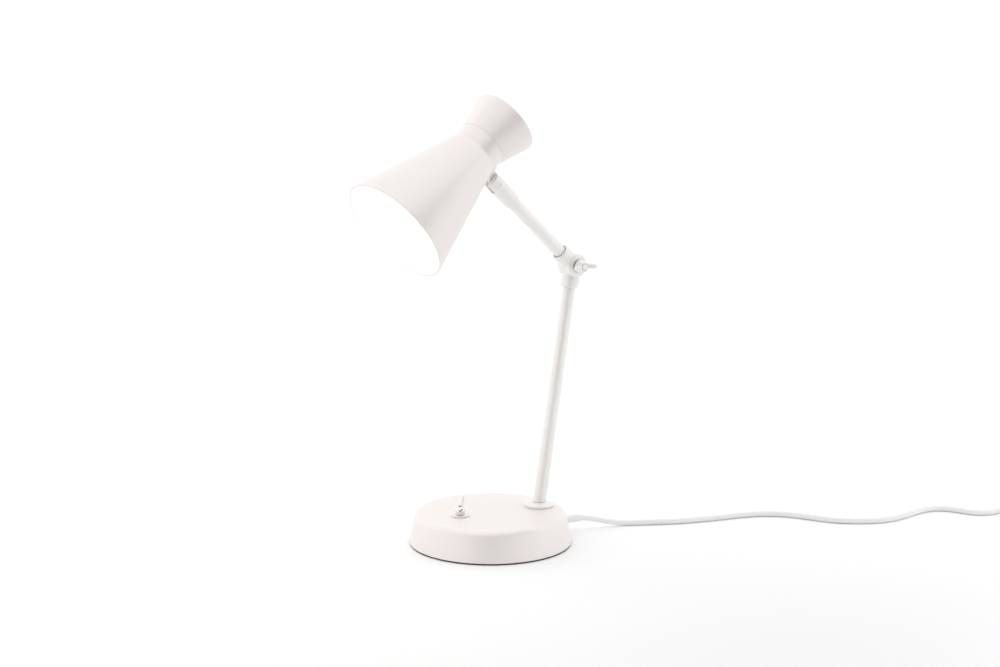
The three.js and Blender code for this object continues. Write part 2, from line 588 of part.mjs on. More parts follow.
function rearCone() {
  const spigotOuter = neckInner - GAP;
  const neckOuter = NECK_RADIUS + NECK_STEP;
  const spigotEnd = NECK_OFFSET + 2.4;
  const centreRadius = REAR_RADIUS - REAR_LIP;
  const centreHeight = rearEnd - REAR_LIP;
  const lip = (radius) => {
    const arc = [];
    for (let i = 0; i <= 4; i += 1) {
      const angle = (i / 4) * (Math.PI / 2);
      arc.push([centreRadius + radius * Math.cos(angle), centreHeight + radius * Math.sin(angle)]);
    }
    return arc;
  };
  return turned([
    [spigotOuter, spigotEnd], [spigotOuter, NECK_REAR + GAP], [neckOuter, NECK_REAR + GAP],
    ...lip(REAR_LIP), ...lip(REAR_LIP - SHADE_WALL).reverse(),
    [neckOuter - SHADE_WALL, NECK_REAR + GAP + 2.6],
    [spigotOuter - SHADE_WALL, NECK_REAR + 1.4], [spigotOuter - SHADE_WALL, spigotEnd],
  ], LARGE);
}

function holderCarrier() {
  const outer = neckInner - GAP - SHADE_WALL - GAP;
  const low = NECK_OFFSET - 2.2;
  const high = NECK_OFFSET + 2.2;
  const middle = (low + high) / 2;
  const spokes = [90, 210, 330].map((angle) =>
    block(outer - 2, 6, high - low, outer / 2, 0, middle).rotateZ(radians(angle)));
  const rim = pipe(outer, outer - 4, low, high, LARGE);
  const hub = rod(NIPPLE_RADIUS + 3, low, high, MEDIUM);
  return cut(
    join(rim, hub, ...spokes),
    rod(NIPPLE_RADIUS + GAP, low - 1, high + 1, MEDIUM),
    alongY(rod(NECK_STUD_RADIUS + GAP, outer - 6, outer + 6, SMALL)).translate(0, 0, NECK_OFFSET),
  );
}

function rearCap() {
  const low = rearEnd - SHADE_WALL - GAP - 1.2;
  const high = low + 1.2;
  const radius = REAR_RADIUS - REAR_LIP + 0.8;
  const vents = [];
  const count = 12;
  for (let i = 0; i < count; i += 1) {
    const vent = block(9, 2.4, 6, radius - 9, 0, low).rotateZ((i * 2 * Math.PI) / count);
    vents.push(vent);
  }
  return cut(rod(radius, low, high, LARGE), rod(NIPPLE_RADIUS + GAP, low - 1, high + 1, MEDIUM), ...vents);
}

function buildHead(pin) {
  add(pin, "neck_tongue", tongue(), WHITE_GLOSS);
  const shade = frame(pin, 0, -PIN_TO_SHADE_AXIS, 0);
  const drill = rod(NECK_STUD_RADIUS + GAP, NECK_RADIUS - 8, NECK_RADIUS + 8, SMALL);
  const studHole = alongY(drill).translate(0, 0, NECK_OFFSET);
  add(shade, "neck_ring",
    cut(pipe(NECK_RADIUS, neckInner, NECK_FRONT, NECK_REAR, LARGE), studHole), WHITE_MATT);
  add(shade, "shade_front", frontCone(), WHITE_MATT);
  add(shade, "shade_rear", rearCone(), WHITE_MATT);
  add(shade, "holder_carrier", holderCarrier(), STEEL);

  const holderBack = NECK_OFFSET - 2.2 - GAP;
  const nippleEnd = rearEnd + 1;
  const nippleStart = holderBack - 5;
  const nippleBore = NIPPLE_RADIUS - 1.4;
  add(shade, "rear_nipple", pipe(NIPPLE_RADIUS, nippleBore, nippleStart, nippleEnd, MEDIUM), STEEL);
  add(shade, "rear_cap", rearCap(), WHITE_MATT);
  const nutFoot = rearEnd - SHADE_WALL;
  const capNut = turned([
    [0, nippleEnd + 2.4], [4, nippleEnd + 2], [7.2, nippleEnd + 0.4], [8, nutFoot + 1], [8, nutFoot],
    [NIPPLE_RADIUS + GAP, nutFoot], [NIPPLE_RADIUS + GAP, nippleEnd + GAP], [0, nippleEnd + GAP],
  ], MEDIUM);
  add(shade, "rear_cap_nut", capNut, WHITE_GLOSS);
  buildLight(shade, holderBack, nippleStart);
}

function buildLight(shade, back, nippleStart) {
  const cavityFloor = nippleStart - 4;
  const front = back - HOLDER_LENGTH;
  const wellRadius = CAP_RADIUS + 0.6;
  const body = chamfered(HOLDER_RADIUS, 0, front, back, 1, MEDIUM);
  const holder = cut(
    body,
    rod(wellRadius, front - 1, cavityFloor, MEDIUM),
    rod(NIPPLE_RADIUS + GAP, nippleStart - GAP, back + 1, MEDIUM),
    rod(2, cavityFloor - 1, nippleStart + 1, SMALL),
  );
  add(shade, "lamp_holder", holder, WHITE_PLASTIC);
  const contactTop = cavityFloor - GAP;
  const contact = chamfered(3, 0, contactTop - 1.4, contactTop, 0.4, SMALL);
  add(shade, "holder_contact", contact, BRASS);
  const capBack = contactTop - 1.4 - GAP;
  const capFront = capBack - 17;
  add(shade, "bulb_cap", turned([
    [0, capBack], [4, capBack], [CAP_RADIUS, capBack - 2.5], [CAP_RADIUS, capFront],
    [CAP_RADIUS - 0.8, capFront], [CAP_RADIUS - 0.8, capBack - 3], [0, capBack - 3],
  ], MEDIUM), BRASS);
  add(shade, "bulb_glass", bulbGlass(capBack, capFront), OPAL_GLASS);
}

// An open-necked opal bulb: a neck in the screw cap, a flare and a round globe.
function bulbGlass(capBack, capFront) {
  const tip = capBack - BULB_LENGTH;
  const centre = tip + BULB_RADIUS;
  const wall = 0.9;
  const neck = CAP_RADIUS - 0.8 - GAP;
  const globe = (radius) => {
    const arc = [];
    for (let i = 0; i <= 10; i += 1) {
      const angle = radians(-90 + i * 14.5);
      arc.push([radius * Math.cos(angle), centre + radius * Math.sin(angle)]);
    }
    return arc;
  };
  const outer = globe(BULB_RADIUS);
  const inner = globe(BULB_RADIUS - wall);
  outer[0][0] = 0;
  inner[0][0] = 0;
  return turned([
    ...outer, [neck + 3, capFront - 4], [neck, capFront - 1], [neck, capFront + 4],
    [neck - wall, capFront + 4], [neck - wall, capFront - 1.4], [neck + 3 - wall, capFront - 4.6],
    ...inner.reverse(),
  ], MEDIUM);
}

// ---------- mains lead ----------
function sweptCord(points) {
  const section = new THREE.Shape();
  const sides = 10;
  for (let i = 0; i < sides; i += 1) {
    const angle = (i * 2 * Math.PI) / sides;
    const step = i === 0 ? "moveTo" : "lineTo";
    section[step](CORD_RADIUS * Math.cos(angle), CORD_RADIUS * Math.sin(angle));
  }
  section.closePath();
  const path = new THREE.CatmullRomCurve3(points, false, "centripetal");
  return new THREE.ExtrudeGeometry(section, { ...FLAT, steps: CORD_STEPS, extrudePath: path });
}

function coilRing() {
  const edge = 1.6;
  return turned([
    [COIL_OUTER - edge, 0], [COIL_OUTER, edge],
    [COIL_OUTER, COIL_TOP - edge], [COIL_OUTER - edge, COIL_TOP],
    [COIL_INNER + edge, COIL_TOP], [COIL_INNER, COIL_TOP - edge],
    [COIL_INNER, edge], [COIL_INNER + edge, 0],
  ], LARGE);
}

function buildCord(lamp) {
  const turn = radians(BASE_TURN);
  const start = shellSide(CORD_HEIGHT) + GLAND_REACH + GAP;
  const first = new THREE.Vector3(start * Math.sin(turn), start * Math.cos(turn), CORD_HEIGHT);
  const route = [first, ...CORD_ROUTE.map((point) => new THREE.Vector3(...point))];
  add(lamp, "mains_cord", sweptCord(route), WHITE_PLASTIC);

  const coil = frame(lamp, COIL_CENTRE[0], COIL_CENTRE[1], 0);
  add(coil, "cord_coil", coilRing(), WHITE_PLASTIC);
  const tieInside = (COIL_OUTER - COIL_INNER) / 2 + GAP;
  const tieMiddle = (COIL_OUTER + COIL_INNER) / 2;
  const tie = cut(
    block(2 * tieInside + 2.4, 5, COIL_TOP + GAP + 1.2, tieMiddle, 0, (COIL_TOP + GAP + 1.2) / 2),
    block(2 * tieInside, 7, COIL_TOP + 2 * GAP, tieMiddle, 0, COIL_TOP / 2),
  );
  const tieFrame = frame(coil, 0, 0, 0);
  tieFrame.rotation.z = radians(-60);
  add(tieFrame, "coil_tie", tie, BLACK_PLASTIC);
  buildPlug(coil);
}

// The plug lies beside the coil, in line with the end of its outermost turn.
function buildPlug(coil) {
  const plug = frame(coil, 0, 0, 0);
  plug.rotation.z = radians(PLUG_TURN);
  const tail = Math.sqrt(COIL_OUTER ** 2 - (COIL_TURN_RADIUS - CORD_RADIUS - 1.4) ** 2) + GAP;
  const length = 36;
  const thickness = 14;
  const half = 17;
  const outline = new THREE.Shape();
  outline.moveTo(-4, 0);
  outline.lineTo(4, 0);
  outline.quadraticCurveTo(5, length * 0.3, half - 3, length * 0.55);
  outline.lineTo(half, length * 0.75);
  outline.lineTo(half - 2, length);
  outline.lineTo(2 - half, length);
  outline.lineTo(-half, length * 0.75);
  outline.lineTo(3 - half, length * 0.55);
  outline.quadraticCurveTo(-5, length * 0.3, -4, 0);
  const body = new THREE.ExtrudeGeometry(outline, { ...FLAT, depth: thickness, curveSegments: 6 });
  body.translate(-COIL_TURN_RADIUS, tail, 0);
  const centre = thickness / 2;
  const pinAt = (x, radius, low, high) =>
    alongY(rod(radius, low, high, SMALL)).translate(x - COIL_TURN_RADIUS, 0, centre);
  const end = tail + length;
  const sides = [-PLUG_PIN_PITCH / 2, PLUG_PIN_PITCH / 2];
  const seated = end - 5;
  const sockets = sides.map((x) => pinAt(x, PLUG_PIN_RADIUS + GAP, seated, end + 1));
  add(plug, "plug_body", cut(body, ...sockets), WHITE_PLASTIC);
  sides.forEach((x, i) => {
    const pinShape = pinAt(x, PLUG_PIN_RADIUS, seated + GAP, end + PLUG_PIN_LENGTH);
    add(plug, `plug_pin_${i + 1}`, pinShape, CHROME);
  });
}

// ---------- assembly ----------
const lamp = new THREE.Group();
buildBase(lamp);
const elbow = buildStem(lamp);
buildElbow(elbow);
const pin = buildArm(elbow);
buildHead(pin);
buildCord(lamp);

export default lamp;
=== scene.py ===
"""Looks of a swing arm desk lamp: a round base with a toggle switch, a leaning stem, an elbow with a
wing nut, a short forked arm, a waisted metal shade with its bulb, and the mains lead and its plug."""
import json
import math

import bpy
from bpy.props import FloatProperty, FloatVectorProperty, PointerProperty
from bpy.types import Operator, Panel, PropertyGroup
from mathutils import Matrix, Vector


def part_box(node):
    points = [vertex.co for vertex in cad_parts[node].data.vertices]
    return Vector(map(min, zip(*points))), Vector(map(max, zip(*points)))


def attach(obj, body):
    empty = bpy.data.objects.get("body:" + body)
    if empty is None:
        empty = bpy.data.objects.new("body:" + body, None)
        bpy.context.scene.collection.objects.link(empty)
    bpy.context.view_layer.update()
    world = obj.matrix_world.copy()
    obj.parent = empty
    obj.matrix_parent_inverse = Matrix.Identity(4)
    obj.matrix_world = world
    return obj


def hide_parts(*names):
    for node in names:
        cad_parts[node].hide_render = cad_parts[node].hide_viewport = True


bl_info = {
    "name": "Swing arm desk lamp",
    "version": (1, 0, 0),
    "blender": (4, 5, 0),
    "location": "3D View > Sidebar > Desk lamp",
    "description": "Builds the looks of a swing arm desk lamp round its packed frame",
    "category": "Add Mesh",
}

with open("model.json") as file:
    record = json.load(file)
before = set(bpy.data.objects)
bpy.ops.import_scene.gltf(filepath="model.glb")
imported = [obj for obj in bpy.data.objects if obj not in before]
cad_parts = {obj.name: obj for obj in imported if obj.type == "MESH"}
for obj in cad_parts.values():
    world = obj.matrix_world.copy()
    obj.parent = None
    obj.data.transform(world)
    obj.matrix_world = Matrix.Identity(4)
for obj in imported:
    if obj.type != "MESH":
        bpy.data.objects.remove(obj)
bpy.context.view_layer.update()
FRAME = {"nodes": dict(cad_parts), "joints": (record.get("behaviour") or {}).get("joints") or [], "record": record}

MM = 0.001
GAP = 0.3 * MM
FULL_TURN = 2 * math.pi
QUARTER = math.pi / 2

# Steps round a circle, by how large the piece is
LARGE = 144
MEDIUM = 72
SMALL = 40

JOINTS = {joint["name"]: joint for joint in FRAME["joints"]}
BODY_OF = {node: body for body, nodes in FRAME["record"]["behaviour"]["bodies"].items() for node in nodes}
SLOT_OF = {part["node"]: part["material_slot"] for part in FRAME["record"]["subparts"]}


# ---------- places, all worked out from the frame ----------
def pivot(joint):
    return Vector(JOINTS[joint]["pos_m"])


def middle(node):
    low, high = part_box(node)
    return (low + high) / 2


def facing(origin, along):
    """A place whose Z runs along a direction that is square to X."""
    z = along.normalized()
    x = Vector((1, 0, 0))
    turn = Matrix((x, z.cross(x), z)).transposed().to_4x4()
    return Matrix.Translation(origin) @ turn


def local_box(node, place):
    """Lowest and highest corner of a CAD node, measured in a place of its own."""
    inverse = place.inverted()
    points = [inverse @ vertex.co for vertex in FRAME["nodes"][node].data.vertices]
    low = Vector([min(point[i] for point in points) for i in range(3)])
    high = Vector([max(point[i] for point in points) for i in range(3)])
    return low, high


TURN_TO_X = Matrix.Rotation(QUARTER, 4, "Y")
TURN_TO_Y = Matrix.Rotation(-QUARTER, 4, "X")

FOOT = pivot("stem_swivel")
ELBOW = pivot("elbow")
FORK_PIN = pivot("head_tilt")
TOGGLE = pivot("switch_toggle")

BASE = Matrix.Rotation(-math.atan2(FOOT.x, FOOT.y), 4, "Z")
SWITCH = Matrix.Translation((TOGGLE.x, TOGGLE.y, 0)) @ BASE
LEVER_TILT = math.radians(JOINTS["switch_toggle"]["range_deg"][1]) / 2
LEVER = Matrix.Translation(TOGGLE) @ BASE @ Matrix.Rotation(-LEVER_TILT, 4, "X")
LEAD = Matrix.Translation((0, 0, middle("base_lead").z)) @ BASE @ TURN_TO_Y

SEAT = Matrix.Translation(FOOT)
STEM_LEAN = math.atan2((ELBOW - FOOT).y, (ELBOW - FOOT).z)
STEM = facing(FOOT, ELBOW - FOOT)
BELOW_ELBOW = facing(ELBOW, FOOT - ELBOW)
ABOVE_ELBOW = facing(ELBOW, FORK_PIN - ELBOW)
WING_TURN = math.radians(12)
WING = Matrix.Translation(ELBOW) @ Matrix.Rotation(WING_TURN - STEM_LEAN, 4, "X")

SHADE_AXIS = (middle("rear_nipple") - middle("neck_ring")).normalized()
NECK = middle("neck_ring") + SHADE_AXIS * (FORK_PIN - middle("neck_ring")).dot(SHADE_AXIS)
HEAD = facing(NECK, SHADE_AXIS)

# The free lead on the desk, from the gland to the coil, then the coil that it is wound into.
LEAD_ROUTE = [
    (25, 100, 10.6), (28, 113, 6.8), (32, 125, 3.9), (38, 137, 2.7), (46, 150, 2.6),
    (55, 164, 2.6), (64, 180, 2.6), (72, 199, 2.6), (79, 220, 2.6), (86, 241, 2.6),
    (95, 259, 2.6), (108, 273, 2.6), (127, 284, 2.6), (148, 293, 2.6), (165, 306, 2.6),
    (177, 322, 2.6), (184, 340, 2.6), (185, 358, 2.6), (183, 377, 2.6), (183, 394, 2.6),
    (189, 408, 2.6), (202, 416, 2.6), (217, 421, 2.6), (227, 432, 2.6), (229, 448, 2.6),
    (228, 466, 2.6), (230, 484, 2.6), (237, 502, 2.6),
]
COIL_ROWS = 4
COIL_POINTS_PER_TURN = 16
PLUG_BEARING = math.radians(52)
PLUG_LENGTH = 36 * MM

SIDE_LEAN = 4 / 20.7  # how far the base's side comes in for each unit of height
COLLAR_GAP = 0.4 * MM  # from the disc of the other half of the elbow to each collar


# ---------- what a user would change ----------
def finish_colour(name, red, green, blue):
    return FloatVectorProperty(
        name=name, description=f"Base colour of the {name.lower()}", subtype="COLOR",
        size=3, min=0, max=1, default=(red, green, blue),
    )


class LampColours(PropertyGroup):
    matt: finish_colour("Matt white paint", 0.775, 0.68, 0.66)
    satin: finish_colour("Satin white paint", 0.84, 0.80, 0.785)
    lead: finish_colour("White lead", 0.80, 0.80, 0.79)
    glow: finish_colour("Bulb glow", 1.0, 0.91, 0.78)


class LampSizes(PropertyGroup):
    base_shoulder: FloatProperty(
        name="Base shoulder", description="Rounding where the base's side meets its top",
        default=7 * MM, unit="LENGTH",
    )
    shell_wall: FloatProperty(
        name="Base wall", description="Sheet thickness of the base shell", default=1.8 * MM, unit="LENGTH",
    )
    shade_wall: FloatProperty(
        name="Shade wall", description="Sheet thickness of the shade", default=1.2 * MM, unit="LENGTH",
    )
    rear_lip: FloatProperty(
        name="Rear lip", description="Rounding of the shade's rear rim", default=4 * MM, unit="LENGTH",
    )
    knuckle_edge: FloatProperty(
        name="Knuckle edge", description="Rounding of the elbow's outer edges",
        default=1.9 * MM, unit="LENGTH",
    )
    wing_edge: FloatProperty(
        name="Wing edge", description="Rounding of the wing nut's blades", default=1.7 * MM, unit="LENGTH",
    )
    bulb_glow: FloatProperty(
        name="Bulb glow", description="Strength of the light that the bulb's glass gives", default=2.2,
    )


class LampView(PropertyGroup):
    azimuth: FloatProperty(
        name="Azimuth", description="Direction of view, 0 along +Y and 90 along -X",
        default=math.radians(51.43), subtype="ANGLE",
    )
    elevation: FloatProperty(
        name="Elevation", description="Height of the view above the horizon",
        default=math.radians(11.37), subtype="ANGLE",
    )
    distance: FloatProperty(
        name="Distance", description="From the camera to what it looks at", default=2.138, unit="LENGTH",
    )
    aim: FloatVectorProperty(
        name="Aim", description="The point that the camera looks at", subtype="XYZ", unit="LENGTH",
        size=3, default=(0.0158, -0.0015, 0.1999),
    )


# ---------- shaping ----------
def leave_all():
    """Leaves edit mode and deselects everything, so that an operator acts on the new piece alone."""
    if bpy.context.object and bpy.context.object.mode != "OBJECT":
        bpy.ops.object.mode_set(mode="OBJECT")
    bpy.ops.object.select_all(action="DESELECT")


def choose(piece):
    leave_all()
    piece.select_set(True)
    bpy.context.view_layer.objects.active = piece


def rounded(corners, parts=6):
    """(across, up) points of an outline whose corners may name a fillet as a third number."""
    path = []
    for index, corner in enumerate(corners):
        point = Vector((corner[0], corner[1], 0))
        if len(corner) == 2:
            path.append(point)
            continue
        before = Vector((*corners[index - 1][:2], 0)) - point
        after = Vector((*corners[(index + 1) % len(corners)][:2], 0)) - point
        half = before.angle(after) / 2
        reach = min(corner[2] / math.tan(half), 0.49 * before.length, 0.49 * after.length)
        centre = point + (before.normalized() + after.normalized()).normalized() * reach / math.cos(half)
        start = point + before.normalized() * reach - centre
        end = point + after.normalized() * reach - centre
        for part in range(parts + 1):
            path.append(centre + start.lerp(end, part / parts).normalized() * start.length)
    return path


def bow(centre, radius, start, end, parts=10, squash=1.0):
    """Points on an arc round (across, up), from one angle in degrees to another."""
    points = []
    for part in range(parts + 1):
        angle = math.radians(start + (end - start) * part / parts)
        points.append((centre[0] + radius * math.cos(angle), centre[1] + radius * squash * math.sin(angle)))
    return points


def line_of(name, path):
    """A new mesh: one point, extruded along a path. It is left in edit mode, all selected."""
    leave_all()
    bpy.ops.mesh.primitive_plane_add(size=MM)
    piece = bpy.context.object
    piece.name = name
    bpy.ops.object.mode_set(mode="EDIT")
    bpy.ops.mesh.select_all(action="SELECT")
    bpy.ops.mesh.merge(type="CENTER")
    bpy.ops.transform.translate(value=path[0])
    for here, there in zip(path, path[1:]):
        bpy.ops.mesh.extrude_region_move(TRANSFORM_OT_translate={"value": there - here})
    bpy.ops.mesh.select_all(action="SELECT")
    return piece


def tidy_mesh():
    """In edit mode: merges what lies together and points the faces outwards."""
    bpy.ops.mesh.select_all(action="SELECT")
    bpy.ops.mesh.remove_doubles(threshold=2e-6)
    bpy.ops.mesh.normals_make_consistent(inside=False)
    bpy.ops.object.mode_set(mode="OBJECT")


def turned(name, corners, steps=MEDIUM):
    """A piece turned about Z from (radius, height) corners, which start and end on the axis or close up."""
    path = [Vector((point.x, 0, point.y)) for point in rounded(corners)]
    if path[0].x > 0:
        path.append(path[0].copy())
    piece = line_of(name, path)
    bpy.ops.mesh.spin(steps=steps, angle=FULL_TURN, center=(0, 0, 0), axis=(0, 0, 1))
    tidy_mesh()
    return piece


def plate(name, corners, thickness):
    """A flat piece cut to (x, y) corners, with its thickness centred on z = 0."""
    path = [point + Vector((0, 0, -thickness / 2)) for point in rounded(corners)]
    piece = line_of(name, path)
    bpy.ops.mesh.edge_face_add()
    bpy.ops.mesh.extrude_region_move(TRANSFORM_OT_translate={"value": (0, 0, thickness)})
    tidy_mesh()
    return piece


def brick(name, sizes, place):
    """A block for cutting, or to be bevelled into a pad."""
    leave_all()
    bpy.ops.mesh.primitive_cube_add(size=1, location=place)
    piece = bpy.context.object
    piece.name = name
    piece.scale = sizes
    bpy.ops.object.transform_apply(location=True, rotation=True, scale=True)
    return piece


def put(piece, place):
    """Moves a piece's shape into a place, with its object left at the origin."""
    choose(piece)
    piece.matrix_world = place
    bpy.ops.object.transform_apply(location=True, rotation=True, scale=True)
    return piece


def bevelled(piece, width, segments=3, angle=35):
    choose(piece)
    edge = piece.modifiers.new("edge", "BEVEL")
    edge.width = width
    edge.segments = segments
    edge.limit_method = "ANGLE"
    edge.angle_limit = math.radians(angle)
    bpy.ops.object.modifier_apply(modifier=edge.name)
    return piece


def combined(piece, tool, operation="DIFFERENCE"):
    """Cuts a piece with a tool or joins the tool on, and removes the tool."""
    choose(piece)
    step = piece.modifiers.new("combine", "BOOLEAN")
    step.operation = operation
    step.solver = "EXACT"
    step.object = tool
    bpy.ops.object.modifier_apply(modifier=step.name)
    bpy.data.objects.remove(tool)
    return piece


def clipped(piece, point, normal):
    """Removes what lies on the normal's side of a plane and closes the cut."""
    choose(piece)
    bpy.ops.object.mode_set(mode="EDIT")
    bpy.ops.mesh.select_all(action="SELECT")
    bpy.ops.mesh.bisect(plane_co=point, plane_no=normal, use_fill=True, clear_outer=True)
    tidy_mesh()
    return piece


def settle(piece, place, *nodes, slot=None, body=None, smooth=32):
    """Puts a finished piece in its place, instead of its CAD nodes, with their body and finish."""
    put(piece, place)
    bpy.ops.object.shade_smooth_by_angle(angle=math.radians(smooth))
    slot = slot or SLOT_OF[nodes[0]]
    piece.data.materials.clear()
    piece.data.materials.append(finish(slot))
    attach(piece, body or BODY_OF[nodes[0]])
    if nodes:
        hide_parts(*nodes)
    return piece


# ---------- finishes ----------
def new_finish(name):
    material = bpy.data.materials.new(name)
    material.use_nodes = True
    tree = material.node_tree
    shader = tree.nodes["Principled BSDF"]
    return material, tree, shader


def noise_on(tree, scale, detail=3.0, stretch=(1, 1, 1)):
    """Noise in the piece's own metres, as many features to the metre as the scale."""
    where = tree.nodes.new("ShaderNodeTexCoord")
    mapping = tree.nodes.new("ShaderNodeMapping")
    mapping.inputs["Scale"].default_value = stretch
    noise = tree.nodes.new("ShaderNodeTexNoise")
    noise.inputs["Scale"].default_value = scale
    noise.inputs["Detail"].default_value = detail
    tree.links.new(where.outputs["Object"], mapping.inputs["Vector"])
    tree.links.new(mapping.outputs["Vector"], noise.inputs["Vector"])
    return noise.outputs["Fac"]


def spread(tree, factor, low, high):
    """A number that follows the noise between two limits."""
    ramp = tree.nodes.new("ShaderNodeMapRange")
    ramp.inputs["From Min"].default_value = 0.3
    ramp.inputs["From Max"].default_value = 0.7
    ramp.inputs["To Min"].default_value = low
    ramp.inputs["To Max"].default_value = high
    tree.links.new(factor, ramp.inputs["Value"])
    return ramp.outputs["Result"]


def two_tone(tree, factor, first, second):
    mix = tree.nodes.new("ShaderNodeMix")
    mix.data_type = "RGBA"
    mix.inputs["A"].default_value = (*first, 1)
    mix.inputs["B"].default_value = (*second, 1)
    tree.links.new(factor, mix.inputs["Factor"])
    return mix.outputs["Result"]


def raise_by(tree, shader, factor, height, strength=1.0):
    bump = tree.nodes.new("ShaderNodeBump")
    bump.inputs["Distance"].default_value = height
    bump.inputs["Strength"].default_value = strength
    tree.links.new(factor, bump.inputs["Height"])
    tree.links.new(bump.outputs["Normal"], shader.inputs["Normal"])


def shaded(colour, share):
    return tuple(channel * share for channel in colour)


def coated(name, colour, grain, height, rough, tone=0.97):
    """Paint or moulded plastic: a fine grain, a slow drift of tone and an uneven gloss."""
    material, tree, shader = new_finish(name)
    drift = noise_on(tree, 22)
    tree.links.new(two_tone(tree, drift, shaded(colour, tone), colour), shader.inputs["Base Color"])
    texture = noise_on(tree, grain, 4)
    tree.links.new(spread(tree, texture, *rough), shader.inputs["Roughness"])
    raise_by(tree, shader, texture, height)
    return material


def metal(name, colour, rough, grain, stretch=(1, 1, 1), height=0.01 * MM):
    """Plated or bare metal: fine marks that may run one way, and an uneven polish."""
    material, tree, shader = new_finish(name)
    marks = noise_on(tree, grain, 6, stretch)
    drift = noise_on(tree, 90)
    tree.links.new(two_tone(tree, drift, shaded(colour, 0.9), colour), shader.inputs["Base Color"])
    tree.links.new(spread(tree, marks, *rough), shader.inputs["Roughness"])
    shader.inputs["Metallic"].default_value = 1.0
    raise_by(tree, shader, marks, height, 0.4)
    return material


def matt_white_paint():
    colour = tuple(bpy.context.scene.lamp_colours.matt)
    return coated("matt_white_paint", colour, 1500, 0.035 * MM, (0.50, 0.66))


def satin_white_paint():
    colour = tuple(bpy.context.scene.lamp_colours.satin)
    return coated("satin_white_paint", colour, 900, 0.012 * MM, (0.26, 0.36), tone=0.98)


def white_plastic():
    colour = tuple(bpy.context.scene.lamp_colours.lead)
    return coated("white_plastic", colour, 1100, 0.02 * MM, (0.38, 0.50), tone=0.96)


def black_plastic():
    return coated("black_plastic", (0.022, 0.022, 0.025), 1400, 0.03 * MM, (0.42, 0.60), tone=0.7)


def pad_rubber():
    return coated("pad_rubber", (0.016, 0.016, 0.017), 900, 0.15 * MM, (0.75, 0.95), tone=0.6)


def chrome():
    # The chrome's colour is set darker than real chrome: painted shade that stands in for the dark surroundings
    # seen in its reflections.
    return metal("chrome", (0.47, 0.44, 0.41), (0.04, 0.09), 700)


def zinc_steel():
    return metal("zinc_steel", (0.55, 0.56, 0.58), (0.28, 0.46), 600, (1, 1, 8))


def brass():
    return metal("brass", (0.72, 0.53, 0.24), (0.22, 0.36), 500)


def cast_iron():
    return metal("cast_iron", (0.11, 0.11, 0.115), (0.62, 0.85), 420, height=0.2 * MM)


def opal_glass():
    """Opal glass that glows evenly, as a lit bulb does."""
    colour = tuple(bpy.context.scene.lamp_colours.glow)
    material, tree, shader = new_finish("opal_glass")
    drift = noise_on(tree, 60)
    tree.links.new(two_tone(tree, drift, shaded(colour, 0.96), colour), shader.inputs["Base Color"])
    shader.inputs["Roughness"].default_value = 0.22
    shader.inputs["Emission Color"].default_value = (*colour, 1)
    shader.inputs["Emission Strength"].default_value = bpy.context.scene.lamp_sizes.bulb_glow
    return material


FINISHES = {
    maker.__name__: maker for maker in (
        matt_white_paint, satin_white_paint, white_plastic, black_plastic, pad_rubber,
        chrome, zinc_steel, brass, cast_iron, opal_glass,
    )
}


def finish(slot):
    """The material of a slot, made once."""
    return bpy.data.materials.get(slot) or FINISHES[slot]()


# ---------- the mains lead ----------
def coil_turns(centre, outer, diameter, start):
    """The lead wound inwards on the desk, then outwards on top of itself, until it points at the plug."""
    points = []
    step = FULL_TURN / COIL_POINTS_PER_TURN
    sector = QUARTER
    outward = 2 * COIL_ROWS - 1
    arc = (start - PLUG_BEARING) % FULL_TURN
    total = outward * FULL_TURN + arc
    count = round(total / step)
    inner = outer - (COIL_ROWS - 1) * diameter
    for index in range(1, count + 1):
        wound = total * index / count
        row = int(wound // FULL_TURN)
        eased = min(1, (wound % FULL_TURN) / sector)
        ease = eased * eased * (3 - 2 * eased)
        if row < COIL_ROWS:
            radius = outer - (row - 1 + ease) * diameter
            height = diameter / 2
            if row == 0:
                radius = outer + diameter * (1 - ease)
            climb = (wound - COIL_ROWS * FULL_TURN) / sector + 1
            if climb > 0:
                height += diameter * climb * climb * (3 - 2 * climb)
        elif row == COIL_ROWS:
            radius = inner
            height = 1.5 * diameter
        else:
            radius = inner + (row - COIL_ROWS - 1 + ease) * diameter
            height = 1.5 * diameter
        bearing = start - wound
        points.append(Vector((centre.x + radius * math.cos(bearing),
                              centre.y + radius * math.sin(bearing), height)))
    return points


class LAMP_OT_lead(Operator):
    """The free mains lead: one curve from the gland, along the desk and round the coil, to the plug"""
    bl_idname = "lamp.lead"
    bl_label = "Mains lead"

    def execute(self, context):
        diameter = local_box("base_lead", LEAD)[1].x * 2
        exit_point = LEAD @ Vector((0, 0, local_box("cord_gland", LEAD)[1].z))
        low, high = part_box("cord_coil")
        centre = (low + high) / 2
        outer = (high.x - low.x) / 2 - diameter / 2
        route = [exit_point] + [Vector(point) * MM for point in LEAD_ROUTE]
        last = route[-1] - centre
        turns = coil_turns(centre, outer, diameter, math.atan2(last.y, last.x))
        tail = middle("plug_body")
        along = (turns[-1] - turns[-2]).normalized()
        end = turns[-1] + along * ((tail - turns[-1]).dot(along) - PLUG_LENGTH / 2 + 2 * MM)
        end.z = tail.z
        points = route + turns + [turns[-1].lerp(end, 0.5), end]
        line = bpy.data.curves.new("mains_lead", "CURVE")
        line.dimensions = "3D"
        line.resolution_u = 5
        line.bevel_depth = diameter / 2
        line.bevel_resolution = 4
        line.use_fill_caps = True
        spline = line.splines.new("BEZIER")
        spline.bezier_points.add(len(points) - 1)
        for knot, point in zip(spline.bezier_points, points):
            knot.co = point
            knot.handle_left_type = "AUTO"
            knot.handle_right_type = "AUTO"
        piece = bpy.data.objects.new("mains_lead", line)
        context.scene.collection.objects.link(piece)
        line.materials.append(finish("white_plastic"))
        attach(piece, "base")
        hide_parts("mains_cord", "cord_coil")
        return {"FINISHED"}


